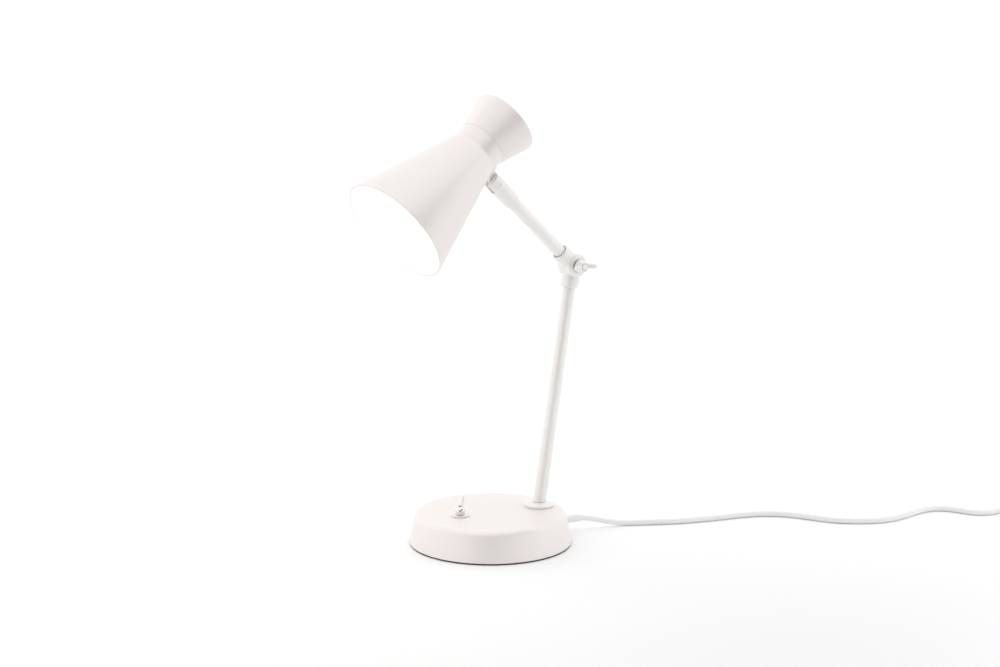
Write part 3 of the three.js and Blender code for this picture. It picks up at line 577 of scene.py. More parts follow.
# ---------- plug ----------
def plug_place():
    """The plug's own place: its pins along Y, its middle on X = 0, on the desk."""
    along = middle("plug_pin_1") + middle("plug_pin_2") - 2 * middle("plug_body")
    along.z = 0
    along.normalize()
    turn = Matrix.Rotation(math.atan2(-along.x, along.y), 4, "Z")
    ends = local_box("plug_body", turn)
    origin = Vector(((ends[0].x + ends[1].x) / 2, ends[0].y, 0))
    return Matrix.Translation(turn @ origin) @ turn


class LAMP_OT_plug(Operator):
    """The flat two-pin plug, its pins and the sleeves on them"""
    bl_idname = "lamp.plug"
    bl_label = "Plug"

    def execute(self, context):
        place = plug_place()
        low, high = local_box("plug_body", place)
        half = high.x
        length = high.y
        thick = high.z - low.z
        waist = 4 * MM
        body = plate("plug_shell", [
            (-waist, 0, 1 * MM), (waist, 0, 1 * MM), (5 * MM, length * 0.3, 9 * MM),
            (half - 3 * MM, length * 0.55, 6 * MM), (half, length * 0.76, 4 * MM),
            (half - 2 * MM, length, 1.5 * MM), (2 * MM - half, length, 1.5 * MM),
            (-half, length * 0.76, 4 * MM), (3 * MM - half, length * 0.55, 6 * MM),
            (-5 * MM, length * 0.3, 9 * MM),
        ], thick)
        bevelled(body, 2.4 * MM, 5, 50)
        put(body, Matrix.Translation((0, 0, thick / 2)))
        for side in (-1, 1):
            spot = (0, length * 0.66, (1 + side) * thick / 2)
            groove = brick("groove", (22 * MM, 0.9 * MM, 1.2 * MM), spot)
            combined(body, groove)
        settle(body, place, "plug_body", smooth=40)
        tail = turned("plug_tail", [
            (2.7 * MM, -6 * MM), (3.3 * MM, -6 * MM, 0.3 * MM), (3.9 * MM, 0.5 * MM), (2.7 * MM, 0.5 * MM),
        ], SMALL)
        height = thick / 2
        spot = Matrix.Translation((0, 0, height)) @ TURN_TO_Y
        settle(tail, place @ spot, slot="white_plastic", body="base")
        for number, side in ((1, -1), (2, 1)):
            node = f"plug_pin_{number}"
            ends = local_box(node, place)
            reach = ends[1].y
            radius = (ends[1].x - ends[0].x) / 2
            x = (ends[0].x + ends[1].x) / 2
            spot = Matrix.Translation((x, 0, height)) @ TURN_TO_Y
            pin = turned(f"plug_pin_made_{number}", [
                (0, length - 4 * MM), (radius * 0.92, length - 4 * MM),
                (radius * 0.92, reach, 1.2 * MM), (0, reach),
            ], SMALL)
            settle(pin, place @ spot, node)
            sleeve = turned(f"plug_sleeve_{number}", [
                (radius * 0.95, length - 1 * MM), (radius, length - 1 * MM),
                (radius, length + 10 * MM, 0.15 * MM), (radius * 0.95, length + 10 * MM),
            ], SMALL)
            settle(sleeve, place @ spot, slot="white_plastic", body="base")
        return {"FINISHED"}


class LAMP_OT_coil_tie(Operator):
    """The twist tie round the coil, with its twisted ends"""
    bl_idname = "lamp.coil_tie"
    bl_label = "Coil tie"

    def execute(self, context):
        centre = middle("cord_coil")
        out = middle("coil_tie") - centre
        turn = Matrix.Rotation(math.atan2(out.y, out.x), 4, "Z")
        place = Matrix.Translation((centre.x, centre.y, 0)) @ turn
        low, high = local_box("coil_tie", place)
        wall = 0.9 * MM
        inner_x = (low.x + 1.2 * MM, high.x - 1.2 * MM)
        top = high.z - 1.2 * MM
        corner = 2.4 * MM
        loop = plate("coil_tie_strap", [
            (inner_x[0] - wall, 0.05 * MM, corner), (inner_x[1] + wall, 0.05 * MM, corner),
            (inner_x[1] + wall, top + wall, corner), (inner_x[0] - wall, top + wall, corner),
        ], 4.4 * MM)
        hole = plate("hole", [
            (inner_x[0], 0.35 * MM, corner), (inner_x[1], 0.35 * MM, corner),
            (inner_x[1], top, corner), (inner_x[0], top, corner),
        ], 9 * MM)
        combined(loop, hole)
        bevelled(loop, 0.25 * MM, 2, 50)
        upright = Matrix.Rotation(QUARTER, 4, "X")
        settle(loop, place @ upright, "coil_tie")
        twist = brick("coil_tie_twist", (1.6 * MM, 4.2 * MM, 7 * MM), (0, 0, 3.5 * MM))
        choose(twist)
        bpy.ops.object.mode_set(mode="EDIT")
        bpy.ops.mesh.select_all(action="SELECT")
        bpy.ops.mesh.subdivide(number_cuts=11)
        bpy.ops.object.mode_set(mode="OBJECT")
        winding = twist.modifiers.new("winding", "SIMPLE_DEFORM")
        winding.deform_method = "TWIST"
        winding.deform_axis = "Z"
        winding.angle = 2.5 * math.pi
        bpy.ops.object.modifier_apply(modifier=winding.name)
        bevelled(twist, 0.2 * MM, 2, 60)
        across = Matrix.Translation((inner_x[0] + 2 * MM, 0, high.z - 0.9 * MM)) @ TURN_TO_X
        settle(twist, place @ across, slot="black_plastic", body="base")
        return {"FINISHED"}


# ---------- base ----------
def shell_side_at(height):
    """The base shell's radius at a height."""
    low, high = local_box("base_shell", BASE)
    return high.x - (height - low.z) * SIDE_LEAN


class LAMP_OT_base(Operator):
    """The base shell with its holes, and the foam pad under it"""
    bl_idname = "lamp.base"
    bl_label = "Base"

    def execute(self, context):
        sizes = context.scene.lamp_sizes
        low, high = local_box("base_shell", BASE)
        radius, foot, top = high.x, low.z - 1.1 * MM, high.z
        wall = sizes.shell_wall
        edge = radius - (top - foot) * SIDE_LEAN
        flat = edge - sizes.base_shoulder - 1.5 * MM
        shell = turned("base_shell_spun", [
            (0, top), (flat, top), (edge, top, sizes.base_shoulder), (radius, foot, 0.6 * MM),
            (radius - wall, foot, 0.3 * MM), (edge - wall, top - wall, sizes.base_shoulder - wall),
            (flat, top - wall), (0, top - wall),
        ], LARGE)
        bushing_hole = local_box("switch_bushing", SWITCH)[1].x + GAP
        stud_hole = local_box("slip_ring", SEAT)[1].x * 0.5
        for place, bore in ((SWITCH, bushing_hole), (SEAT, stud_hole)):
            hole = turned("hole", [
                (0, top - 3 * wall), (bore, top - 3 * wall), (bore, top + wall), (0, top + wall),
            ], SMALL)
            spot = Matrix.Translation((place.translation.x, place.translation.y, 0))
            combined(shell, put(hole, BASE.inverted() @ spot))
        settle(shell, BASE, "base_shell")
        low, high = local_box("foot_pad", BASE)
        pad = turned("foot_pad_foam", [
            (0, low.z), (high.x, low.z, 0.3 * MM), (high.x, low.z + 0.9 * MM, 0.3 * MM),
            (high.x - 1.4 * MM, low.z + 0.9 * MM), (high.x - 1.4 * MM, high.z), (0, high.z),
        ], LARGE)
        settle(pad, BASE, "foot_pad")
        return {"FINISHED"}


class LAMP_OT_switch(Operator):
    """The toggle switch as it shows on the base: washer, domed nut, bushing and lever"""
    bl_idname = "lamp.switch"
    bl_label = "Toggle switch"

    def execute(self, context):
        low, high = local_box("switch_washer", SWITCH)
        bore = local_box("switch_bushing", SWITCH)[1].x
        washer = turned("switch_washer_turned", [
            (bore + GAP, low.z), (high.x, low.z, 0.1 * MM),
            (high.x, high.z, 0.35 * MM), (bore + GAP, high.z),
        ])
        settle(washer, SWITCH, "switch_washer")
        low, high = local_box("switch_nut", SWITCH)
        radius = high.x
        centre = (0, low.z + 3.2 * MM)
        dome = bow(centre, radius, -36, 62, 14)
        nut = turned("switch_nut_domed", [
            (bore + GAP, low.z), (radius - 0.95 * MM, low.z, 0.15 * MM), *dome,
            (bore - 0.9 * MM, high.z, 0.3 * MM), (bore - 0.9 * MM, high.z - 1.6 * MM),
            (bore + GAP, high.z - 2 * MM),
        ])
        settle(nut, SWITCH, "switch_nut", smooth=50)
        low, high = local_box("switch_bushing", SWITCH)
        collar = turned("switch_bushing_turned", [
            (high.x, low.z), (high.x, high.z, 0.2 * MM), (high.x - 0.6 * MM, high.z, 0.2 * MM),
            (high.x - 1 * MM, low.z + 4 * MM), (high.x - 1 * MM, low.z),
        ], SMALL)
        settle(collar, SWITCH, "switch_bushing")
        low, high = local_box("switch_lever", LEVER)
        ball = high.x
        tip = high.z
        lever = turned("switch_lever_turned", [
            (0, -ball), *bow((0, 0), ball, -80, 52, 10), (0.85 * MM, 2.6 * MM, 1 * MM),
            (0.95 * MM, tip - 1.2 * MM, 0.5 * MM), (0.75 * MM, tip, 0.5 * MM), (0, tip),
        ], SMALL)
        settle(lever, LEVER, "switch_lever", smooth=50)
        return {"FINISHED"}


class LAMP_OT_gland(Operator):
    """The tapered strain relief that the lead leaves the base through"""
    bl_idname = "lamp.gland"
    bl_label = "Strain relief"

    def execute(self, context):
        high = local_box("cord_gland", LEAD)[1]
        lead = local_box("base_lead", LEAD)[1].x
        end = high.z
        collar = high.x
        face = shell_side_at(LEAD.translation.z - collar) + GAP
        bore = lead + 0.2 * MM
        corners = [(bore, face - 4 * MM), (collar - 1.8 * MM, face - 4 * MM), (collar - 1.8 * MM, face),
                   (collar, face, 0.2 * MM), (collar, face + 1.6 * MM, 0.7 * MM)]
        corners += [
            (collar - 2.4 * MM, face + 1.8 * MM, 0.6 * MM), (bore + 0.9 * MM, face + 7 * MM, 8 * MM),
        ]
        for ring in range(3):
            start = face + (9 + 2.6 * ring) * MM
            corners += [(bore + 0.8 * MM, start), (bore + 0.55 * MM, start + 0.4 * MM, 0.2 * MM),
                        (bore + 0.75 * MM, start + 0.8 * MM)]
        corners += [(bore + 0.5 * MM, end, 0.15 * MM), (bore, end)]
        settle(turned("strain_relief", corners, SMALL), LEAD, "cord_gland")
        return {"FINISHED"}


# ---------- stem ----------
class LAMP_OT_stem(Operator):
    """The rosette on the base, the slip ring under it and the stem's tube"""
    bl_idname = "lamp.stem"
    bl_label = "Stem"

    def execute(self, context):
        low, high = local_box("slip_ring", SEAT)
        bore = 5.3 * MM
        ring = turned("slip_ring_turned", [
            (bore, low.z - 0.2 * MM), (high.x + 0.7 * MM, low.z - 0.2 * MM),
            (high.x + 0.7 * MM, high.z + 0.2 * MM), (bore, high.z + 0.2 * MM),
        ])
        settle(ring, SEAT, "slip_ring")
        seat_low = high.z + GAP
        tube = local_box("stem_tube", STEM)
        top = local_box("stem_tube", SEAT)[0].z - GAP
        radius = local_box("stem_foot", SEAT)[1].x
        rosette = turned("rosette_turned", [
            (0, seat_low), (radius, seat_low, 0.1 * MM), (radius, seat_low + 1 * MM, 0.5 * MM),
            (tube[1].x + 1.6 * MM, top, 4 * MM), (0, top),
        ])
        settle(rosette, SEAT, "stem_foot")
        rim = tube[1].x
        pipe = turned("stem_tube_drawn", [
            (rim - 1 * MM, tube[0].z), (rim, tube[0].z),
            (rim, tube[1].z, 0.3 * MM), (rim - 1 * MM, tube[1].z, 0.3 * MM),
        ])
        below = STEM.inverted() @ (FOOT + Vector((0, 0, top + GAP)))
        up = STEM.to_3x3().inverted() @ Vector((0, 0, -1))
        clipped(pipe, below, up)
        settle(pipe, STEM, "stem_tube")
        return {"FINISHED"}


# ---------- elbow ----------
def knuckle(node, place, side):
    """One half of the elbow: a thick disc across X, with a neck that reaches to the collar of its tube."""
    edge = bpy.context.scene.lamp_sizes.knuckle_edge
    low, high = local_box(node, place)
    radius = -low.z
    near, far = (high.x, low.x) if side < 0 else (low.x, high.x)
    profile = [(0, near), (radius, near, 0.35 * MM), (radius, far, edge), (0, far)]
    disc = turned(f"{node}_cast", profile, LARGE)
    put(disc, TURN_TO_X)
    throat = abs(near) - 0.12 * MM
    end = radius + COLLAR_GAP
    neck = turned("neck", [(0, 0), (throat, 0), (throat, end), (0, end)])
    combined(disc, neck, "UNION")
    return settle(disc, place, node, smooth=38)


def collar(node, place):
    """The ring over the end of a tube, countersunk where the tube goes in."""
    high = local_box(node, place)[1]
    radius = high.x
    start = COLLAR_GAP - local_box(node.replace("collar", "knuckle"), place)[0].z
    end = high.z - 2.1 * MM
    tube = local_box("stem_tube", STEM)[1].x
    piece = turned(f"{node}_turned", [
        (tube + GAP, start), (radius, start, 0.3 * MM), (radius, end - 1 * MM, 0.4 * MM),
        (radius - 0.8 * MM, end, 0.3 * MM), (tube + 0.9 * MM, end, 0.2 * MM), (tube + GAP, end - 1.6 * MM),
    ])
    return settle(piece, place, node)


class LAMP_OT_elbow(Operator):
    """The two halves of the elbow, their collars and washers, and the bolt through them"""
    bl_idname = "lamp.elbow"
    bl_label = "Elbow"

    def execute(self, context):
        knuckle("lower_knuckle", BELOW_ELBOW, -1)
        knuckle("upper_knuckle", ABOVE_ELBOW, 1)
        collar("lower_collar", BELOW_ELBOW)
        collar("upper_collar", ABOVE_ELBOW)
        across = Matrix.Translation(ELBOW) @ TURN_TO_X
        shank = 3 * MM
        for node in ("friction_washer", "spring_washer"):
            low, high = local_box(node, across)
            washer = turned(f"{node}_turned", [
                (shank + GAP, low.z), (high.x, low.z, 0.15 * MM),
                (high.x, high.z, 0.15 * MM), (shank + GAP, high.z),
            ])
            settle(washer, across, node)
        low, high = local_box("elbow_bolt", across)
        head = high.x
        face = -local_box("lower_knuckle", BELOW_ELBOW)[0].x + GAP
        depth = -low.z - face
        crown = [(head * math.cos(angle), -face - depth * math.sin(angle))
                 for angle in (math.radians(6 * step) for step in range(15, -1, -1))]
        crown[0] = (0, low.z)
        bolt = turned("elbow_bolt_turned", [
            *crown, (shank, -face), (shank, high.z, 0.5 * MM), (0, high.z),
        ])
        socket = turned("socket", [
            (0, low.z - MM), (2.3 * MM, low.z - MM), (2.3 * MM, low.z + 1.9 * MM), (0, low.z + 2.4 * MM),
        ], 6)
        combined(bolt, socket)
        settle(bolt, across, "elbow_bolt")
        return {"FINISHED"}


class LAMP_OT_wing_nut(Operator):
    """The wing nut: a tapered hub and two thick blades that lean outwards"""
    bl_idname = "lamp.wing_nut"
    bl_label = "Wing nut"

    def execute(self, context):
        low, high = local_box("wing_nut", WING)
        foot, tip, span = low.x, high.x, high.y
        thick = 4.6 * MM
        hub = turned("wing_nut_cast", [
            (3.3 * MM, foot), (6 * MM, foot, 0.4 * MM), (5.7 * MM, foot + 5 * MM, 2 * MM),
            (4.7 * MM, foot + 7.4 * MM, 0.7 * MM), (3.3 * MM, foot + 7.4 * MM, 0.3 * MM),
        ])
        put(hub, TURN_TO_X)
        for side in (-1, 1):
            blade = plate("blade", [
                (foot + 1 * MM, side * 3.9 * MM), (foot + 1.4 * MM, side * 7 * MM, 2 * MM),
                (foot + 5 * MM, side * (span - 1.2 * MM), 4 * MM),
                (foot + 9.6 * MM, side * span, 2.2 * MM),
                (tip, side * (span - 1.4 * MM), 1.6 * MM),
                (tip - 0.6 * MM, side * (span - 4.4 * MM), 2.2 * MM),
                (foot + 8.6 * MM, side * 6.4 * MM, 3 * MM), (foot + 6.6 * MM, side * 3.9 * MM),
            ], thick)
            bevelled(blade, context.scene.lamp_sizes.wing_edge, 4, 50)
            combined(hub, blade, "UNION")
        settle(hub, WING, "wing_nut", smooth=40)
        return {"FINISHED"}


# ---------- upper arm ----------
class LAMP_OT_arm(Operator):
    """The arm's tube, the fork sleeve on its end, and the flush pin and nut of the fork"""
    bl_idname = "lamp.arm"
    bl_label = "Upper arm"

    def execute(self, context):
        low, high = local_box("arm_tube", ABOVE_ELBOW)
        rim = high.x
        tube = turned("arm_tube_drawn", [
            (rim - 1 * MM, low.z, 0.3 * MM), (rim, low.z, 0.3 * MM), (rim, high.z), (rim - 1 * MM, high.z),
        ])
        settle(tube, ABOVE_ELBOW, "arm_tube")
        seat = high.z + GAP
        low, high = local_box("fork_sleeve", ABOVE_ELBOW)
        pin_at = (FORK_PIN - ELBOW).length
        radius = high.x
        sleeve = turned("fork_sleeve_turned", [
            (0, seat), (rim + GAP, seat), (rim + GAP, low.z, 0.25 * MM), (radius, low.z, 0.6 * MM),
            (radius, high.z, 0.9 * MM), (0, high.z),
        ])
        tongue = local_box("neck_tongue", HEAD)
        tongue_radius = tongue[1].y - (FORK_PIN - NECK).length
        slot_floor = pin_at - tongue_radius - 0.6 * MM
        reach = 40 * MM
        slot = brick("slot", (4.6 * MM, reach, reach), (0, 0, slot_floor + reach / 2))
        combined(sleeve, slot)
        head_box = local_box("pivot_pin", Matrix.Translation(FORK_PIN) @ TURN_TO_X)
        head = head_box[1].x
        flush = head_box[1].z
        for side in (-1, 1):
            pocket = turned("pocket", [
                (0, flush - 1 * MM), (head, flush - 1 * MM), (head, 2 * flush), (0, 2 * flush),
            ], SMALL)
            put(pocket, Matrix.Translation((0, 0, pin_at)) @ Matrix.Rotation(side * QUARTER, 4, "Y"))
            combined(sleeve, pocket)
        settle(sleeve, ABOVE_ELBOW, "fork_sleeve", smooth=38)
        across = Matrix.Translation(FORK_PIN) @ TURN_TO_X
        pin = turned("pivot_pin_turned", [
            (0, -flush - 0.55 * MM), (head * 0.6, -flush - 0.4 * MM), (head, -flush),
            (head, 0.8 * MM - flush), (2 * MM, 0.8 * MM - flush),
            (2 * MM, flush + 0.35 * MM), (0, flush + 0.55 * MM),
        ], SMALL)
        settle(pin, across, "pivot_pin")
        nut = turned("pivot_nut_turned", [
            (2 * MM, flush - 0.7 * MM), (head, flush - 0.7 * MM), (head, flush), (2 * MM, flush + 0.35 * MM),
        ], SMALL)
        settle(nut, across, "pivot_nut")
        return {"FINISHED"}


class LAMP_OT_tongue(Operator):
    """The tongue on the shade's neck that tilts in the fork"""
    bl_idname = "lamp.tongue"
    bl_label = "Neck tongue"

    def execute(self, context):
        high = local_box("neck_tongue", HEAD)[1]
        pin_at = (FORK_PIN - NECK).length
        radius = high.y - pin_at
        neck = local_box("neck_ring", HEAD)
        neck_face = neck[1].x + GAP
        offset = (neck[0].z + neck[1].z) / 2
        half = 4 * MM
        nose = bow((pin_at, 0), radius, -100, 100, 24)
        tongue = plate("neck_tongue_cut", [
            *nose, (neck_face + 1 * MM, offset + half), (neck_face + 1 * MM, offset - half),
        ], 4 * MM)
        bevelled(tongue, 0.5 * MM, 3, 60)
        standing = Matrix(((0, 0, 1, 0), (1, 0, 0, 0), (0, 1, 0, 0), (0, 0, 0, 1)))
        put(tongue, standing)
        pad = brick("pad", (10 * MM, 2 * MM, 10 * MM), (0, neck_face + 1 * MM, offset))
        bevelled(pad, 0.6 * MM, 3, 40)
        combined(tongue, pad, "UNION")
        settle(tongue, HEAD, "neck_tongue", smooth=38)
        return {"FINISHED"}


# ---------- shade ----------
class LAMP_OT_shade(Operator):
    """The shade: the front cone, the rear cone and the neck ring between them"""
    bl_idname = "lamp.shade"
    bl_label = "Shade"

    def execute(self, context):
        sizes = context.scene.lamp_sizes
        wall = sizes.shade_wall
        low, high = local_box("neck_ring", HEAD)
        neck_front, neck_rear, neck = low.z, high.z, high.x
        bore = neck - wall - 0.3 * MM
        ring = turned("neck_ring_turned", [
            (bore, neck_front - GAP), (neck, neck_front - GAP),
            (neck, neck_rear + GAP), (bore, neck_rear + GAP),
        ], LARGE)
        settle(ring, HEAD, "neck_ring")

        spigot = bore - GAP
        step = neck + 0.4 * MM
        low, high = local_box("shade_front", HEAD)
        mouth, mouth_radius = low.z, high.x
        front = turned("shade_front_spun", [
            (spigot, high.z), (spigot, neck_front - GAP), (step, neck_front - GAP, 0.2 * MM),
            (mouth_radius, mouth, 0.6 * MM), (mouth_radius - 2.2 * MM, mouth, 0.5 * MM),
            (mouth_radius - 2.2 * MM, mouth + 1.4 * MM, 0.5 * MM),
            (mouth_radius - wall - 0.6 * MM, mouth + 1.9 * MM),
            (step - wall, neck_front - GAP - 2.6 * MM, 1 * MM),
            (spigot - wall, neck_front - 1.4 * MM, 0.5 * MM),
            (spigot - wall, high.z),
        ], LARGE)
        settle(front, HEAD, "shade_front")

        low, high = local_box("shade_rear", HEAD)
        lip = sizes.rear_lip
        edge = high.x + 0.35 * MM
        rear = turned("shade_rear_spun", [
            (spigot, low.z), (spigot, neck_rear + GAP), (step, neck_rear + GAP, 0.2 * MM),
            (edge, high.z, lip), (high.x - lip, high.z, 0.5 * MM), (high.x - lip, high.z - wall, 0.5 * MM),
            (edge - wall - 0.2 * MM, high.z - wall, lip - wall),
            (step - wall, neck_rear + GAP + 2.6 * MM, 1 * MM),
            (spigot - wall, neck_rear + 1.4 * MM, 0.5 * MM), (spigot - wall, low.z),
        ], LARGE)
        settle(rear, HEAD, "shade_rear")
        return {"FINISHED"}


class LAMP_OT_rear_cap(Operator):
    """The vented disc that closes the back of the shade, and the domed nut that holds it"""
    bl_idname = "lamp.rear_cap"
    bl_label = "Rear cap"

    def execute(self, context):
        low, high = local_box("rear_cap", HEAD)
        radius = high.x
        bore = local_box("rear_nipple", HEAD)[1].x + GAP
        disc = turned("rear_cap_pressed", [
            (bore, low.z), (radius, low.z, 0.3 * MM), (radius, high.z, 0.3 * MM), (bore, high.z),
        ], LARGE)
        vents = 12
        for vent in range(vents):
            slot = plate("vent", [
                (-4.5 * MM, -1.2 * MM, 1.15 * MM), (4.5 * MM, -1.2 * MM, 1.15 * MM),
                (4.5 * MM, 1.2 * MM, 1.15 * MM), (-4.5 * MM, 1.2 * MM, 1.15 * MM),
            ], 6 * MM)
            spot = Matrix.Translation((radius - 9 * MM, 0, low.z))
            put(slot, Matrix.Rotation(vent * FULL_TURN / vents, 4, "Z") @ spot)
            combined(disc, slot)
        settle(disc, HEAD, "rear_cap")
        low, high = local_box("rear_cap_nut", HEAD)
        radius = high.x
        rise = high.z - low.z - 1 * MM
        crown = [(radius * math.cos(angle), low.z + 1 * MM + rise * math.sin(angle))
                 for angle in (math.radians(6 * step) for step in range(16))]
        crown[-1] = (0, high.z)
        inner = high.z - 2 * MM
        nut = turned("rear_cap_nut_domed", [
            (0, inner), (bore, inner), (bore, low.z), (radius, low.z, 0.2 * MM), *crown,
        ])
        settle(nut, HEAD, "rear_cap_nut", smooth=50)
        return {"FINISHED"}


class LAMP_OT_light(Operator):
    """The lamp holder with its ribs, the bulb's opal glass, and the light that it gives"""
    bl_idname = "lamp.light"
    bl_label = "Bulb and holder"

    def execute(self, context):
        low, high = local_box("lamp_holder", HEAD)
        radius, front, back = high.x, low.z, high.z
        well = local_box("bulb_cap", HEAD)[1].x + 0.6 * MM
        skirt = [(well, front, 0.4 * MM), (radius, front, 0.8 * MM)]
        ribs = 6
        for rib in range(ribs):
            start = front + (3 + 2.2 * rib) * MM
            skirt += [(radius, start, 0.15 * MM), (radius - 0.7 * MM, start + 0.4 * MM, 0.15 * MM),
                      (radius - 0.7 * MM, start + 1 * MM, 0.15 * MM), (radius, start + 1.4 * MM, 0.15 * MM)]
        shoulder = back - 6 * MM
        holder = turned("lamp_holder_moulded", [
            *skirt, (radius, shoulder, 1 * MM), (radius - 2 * MM, back, 1 * MM), (5.3 * MM, back),
            (5.3 * MM, back - 6 * MM), (well, back - 9 * MM),
        ])
        settle(holder, HEAD, "lamp_holder")

        low, high = local_box("bulb_glass", HEAD)
        globe = high.x
        tip, neck_end = low.z, high.z
        centre = (0, tip + globe)
        wall = 0.9 * MM
        throat = well - 2 * MM
        outer = bow(centre, globe, -90, 44, 30)
        outer[0] = (0, tip)
        shrink = 1 - wall / globe
        inner = [(x * shrink, centre[1] + (z - centre[1]) * shrink) for x, z in outer]
        inner[0] = (0, tip + wall)
        bulb = turned("bulb_glass_blown", [
            *outer, (throat + 1.6 * MM, neck_end - 9 * MM, 9 * MM), (throat - 0.2 * MM, neck_end),
            (throat - 0.2 * MM - wall, neck_end), (throat + 1.6 * MM - wall, neck_end - 9 * MM, 9 * MM),
            *reversed(inner),
        ])
        settle(bulb, HEAD, "bulb_glass", smooth=60)

        lamp = bpy.data.lights.new("bulb_light", "POINT")
        lamp.energy = 0.11
        lamp.color = tuple(context.scene.lamp_colours.glow)
        lamp.shadow_soft_size = globe * 0.5
        glow = bpy.data.objects.new("bulb_light", lamp)
        context.scene.collection.objects.link(glow)
        glow.location = HEAD @ Vector((0, 0, tip - 4 * MM))
        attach(glow, "head")
        return {"FINISHED"}


# ---------- what stays as it is inside ----------
class LAMP_OT_inside(Operator):
    """Gives every CAD node the finish of its slot"""
    bl_idname = "lamp.inside"
    bl_label = "Inner pieces"

    def execute(self, context):
        for node, piece in FRAME["nodes"].items():
            material = finish(SLOT_OF[node])
            if piece.material_slots:
                for holder in piece.material_slots:
                    holder.material = material
            else:
                piece.data.materials.append(material)
        return {"FINISHED"}


class LAMP_OT_declare_lead(Operator):
    """Makes a list of the names of the pieces on the lead, once they exist, and does nothing more with it"""
    bl_idname = "lamp.declare_lead"
    bl_label = "Lead facts"

    def execute(self, context):
        named = ["strain_relief", "plug_shell", "plug_tail", "coil_tie_strap", "coil_tie_twist"]
        named += [f"plug_{part}_{number}" for part in ("pin_made", "sleeve") for number in (1, 2)]
        return {"FINISHED"}


# ---------- stage ----------
def soft_box(name, place, aim, size, power):
    light = bpy.data.lights.new(name, "AREA")
    light.shape = "RECTANGLE"
    light.size, light.size_y = size
    light.energy = power
    holder = bpy.data.objects.new(name, light)
    bpy.context.scene.collection.objects.link(holder)
    holder.location = place
    holder.rotation_euler = (Vector(aim) - Vector(place)).to_track_quat("-Z", "Y").to_euler()


def dark_card(name, aim, bearing, distance, rise, width, height):
    """A dark card that gives the white paint its darker sides. Its bearing runs from -Y towards +X."""
    away = Vector((math.sin(bearing), -math.cos(bearing), 0))
    place = aim + away * distance + Vector((0, 0, rise))
    leave_all()
    turn = (aim - place).to_track_quat("Z", "Y").to_euler()
    bpy.ops.mesh.primitive_plane_add(size=1, location=place, rotation=turn)
    card = bpy.context.object
    card.name = name
    card.scale = (width, height, 1)
    card.visible_camera = False
    material = bpy.data.materials.get("dark_cloth")
    if not material:
        material, tree, shader = new_finish("dark_cloth")
        weave = noise_on(tree, 800)
        tone = two_tone(tree, weave, (0.10, 0.10, 0.10), (0.13, 0.13, 0.13))
        tree.links.new(tone, shader.inputs["Base Color"])
        shader.inputs["Roughness"].default_value = 1.0
    card.data.materials.append(material)


class LAMP_OT_camera(Operator):
    """The camera, at the view that the lamp is shown from"""
    bl_idname = "lamp.camera"
    bl_label = "Camera"

    def execute(self, context):
        view = context.scene.lamp_view
        camera = bpy.data.cameras.new("camera")
        camera.lens = 85
        camera.sensor_width = 36
        camera.clip_end = 60
        holder = bpy.data.objects.new("camera", camera)
        context.scene.collection.objects.link(holder)
        level = math.cos(view.elevation)
        across = Vector((-math.sin(view.azimuth), math.cos(view.azimuth), 0))
        ahead = across * level + Vector((0, 0, -math.sin(view.elevation)))
        holder.location = Vector(view.aim) - ahead * view.distance
        holder.rotation_euler = ahead.to_track_quat("-Z", "Y").to_euler()
        context.scene.camera = holder
        return {"FINISHED"}


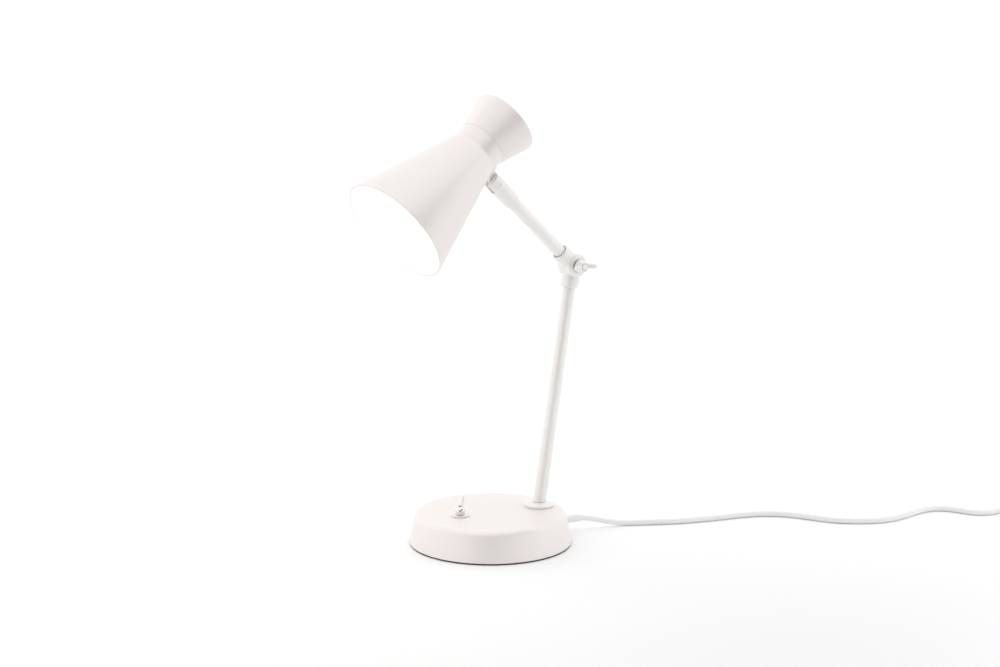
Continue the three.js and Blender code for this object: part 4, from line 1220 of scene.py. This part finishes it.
class LAMP_OT_stage(Operator):
    """The pale floor, the white surroundings and the soft studio lights"""
    bl_idname = "lamp.stage"
    bl_label = "Stage"

    def execute(self, context):
        leave_all()
        bpy.ops.mesh.primitive_plane_add(size=60, location=(0, 0, -0.0002))
        floor = context.object
        floor.name = "floor"
        material, tree, shader = new_finish("pale_floor")
        drift = noise_on(tree, 3)
        tone = two_tone(tree, drift, (0.95, 0.95, 0.95), (0.97, 0.97, 0.97))
        tree.links.new(tone, shader.inputs["Base Color"])
        shader.inputs["Roughness"].default_value = 0.9
        shader.inputs["Specular IOR Level"].default_value = 0.0
        floor.data.materials.append(material)

        world = bpy.data.worlds.new("studio")
        world.use_nodes = True
        world.node_tree.nodes["Background"].inputs["Color"].default_value = (1, 1, 1, 1)
        world.node_tree.nodes["Background"].inputs["Strength"].default_value = 1.1
        context.scene.world = world
        context.scene.view_settings.view_transform = "Standard"

        aim = Vector((0, 0, 0.2))
        sky = bpy.data.lights.new("overhead_light", "SUN")
        sky.energy = 0.16
        sky.angle = math.radians(70)
        holder = bpy.data.objects.new("overhead_light", sky)
        context.scene.collection.objects.link(holder)
        holder.rotation_euler = Vector((-0.3, -0.35, -1)).to_track_quat("-Z", "Y").to_euler()
        soft_box("right_light", (1.3, 1.6, 1.1), aim, (0.9, 1.8), 3.5)
        soft_box("left_light", (-1.8, -0.8, 1.2), aim, (0.9, 1.8), 2)
        bearing = context.scene.lamp_view.azimuth
        dark_card("front_card", Vector((0, 0, 0.1)), bearing, 1.25, 0.26, 1.1, 0.7)
        dark_card("side_card", middle("shade_front"), bearing + math.radians(58), 0.6, 0.22, 0.6, 0.42)
        return {"FINISHED"}


# ---------- the add-on ----------
STEPS = [
    LAMP_OT_camera, LAMP_OT_lead, LAMP_OT_plug, LAMP_OT_coil_tie, LAMP_OT_gland, LAMP_OT_base,
    LAMP_OT_switch, LAMP_OT_stem, LAMP_OT_elbow, LAMP_OT_wing_nut, LAMP_OT_arm, LAMP_OT_tongue,
    LAMP_OT_shade, LAMP_OT_rear_cap, LAMP_OT_light, LAMP_OT_inside, LAMP_OT_declare_lead, LAMP_OT_stage,
]
SETTINGS = {"lamp_colours": LampColours, "lamp_sizes": LampSizes, "lamp_view": LampView}


class LAMP_PT_panel(Panel):
    """The lamp's sizes, colours and building steps"""
    bl_idname = "LAMP_PT_panel"
    bl_label = "Desk lamp"
    bl_space_type = "VIEW_3D"
    bl_region_type = "UI"
    bl_category = "Desk lamp"

    def draw(self, context):
        for setting, group in SETTINGS.items():
            box = self.layout.box()
            for name in group.__annotations__:
                box.prop(getattr(context.scene, setting), name)
        for step in STEPS:
            self.layout.operator(step.bl_idname)


def register():
    for kind in [*SETTINGS.values(), *STEPS, LAMP_PT_panel]:
        bpy.utils.register_class(kind)
    for setting, group in SETTINGS.items():
        setattr(bpy.types.Scene, setting, PointerProperty(type=group))


def unregister():
    for setting in SETTINGS:
        delattr(bpy.types.Scene, setting)
    for kind in reversed([*SETTINGS.values(), *STEPS, LAMP_PT_panel]):
        bpy.utils.unregister_class(kind)


def main():
    register()
    for step in STEPS:
        group, name = step.bl_idname.split(".")
        getattr(getattr(bpy.ops, group), name)()


if __name__ == "__main__":
    main()
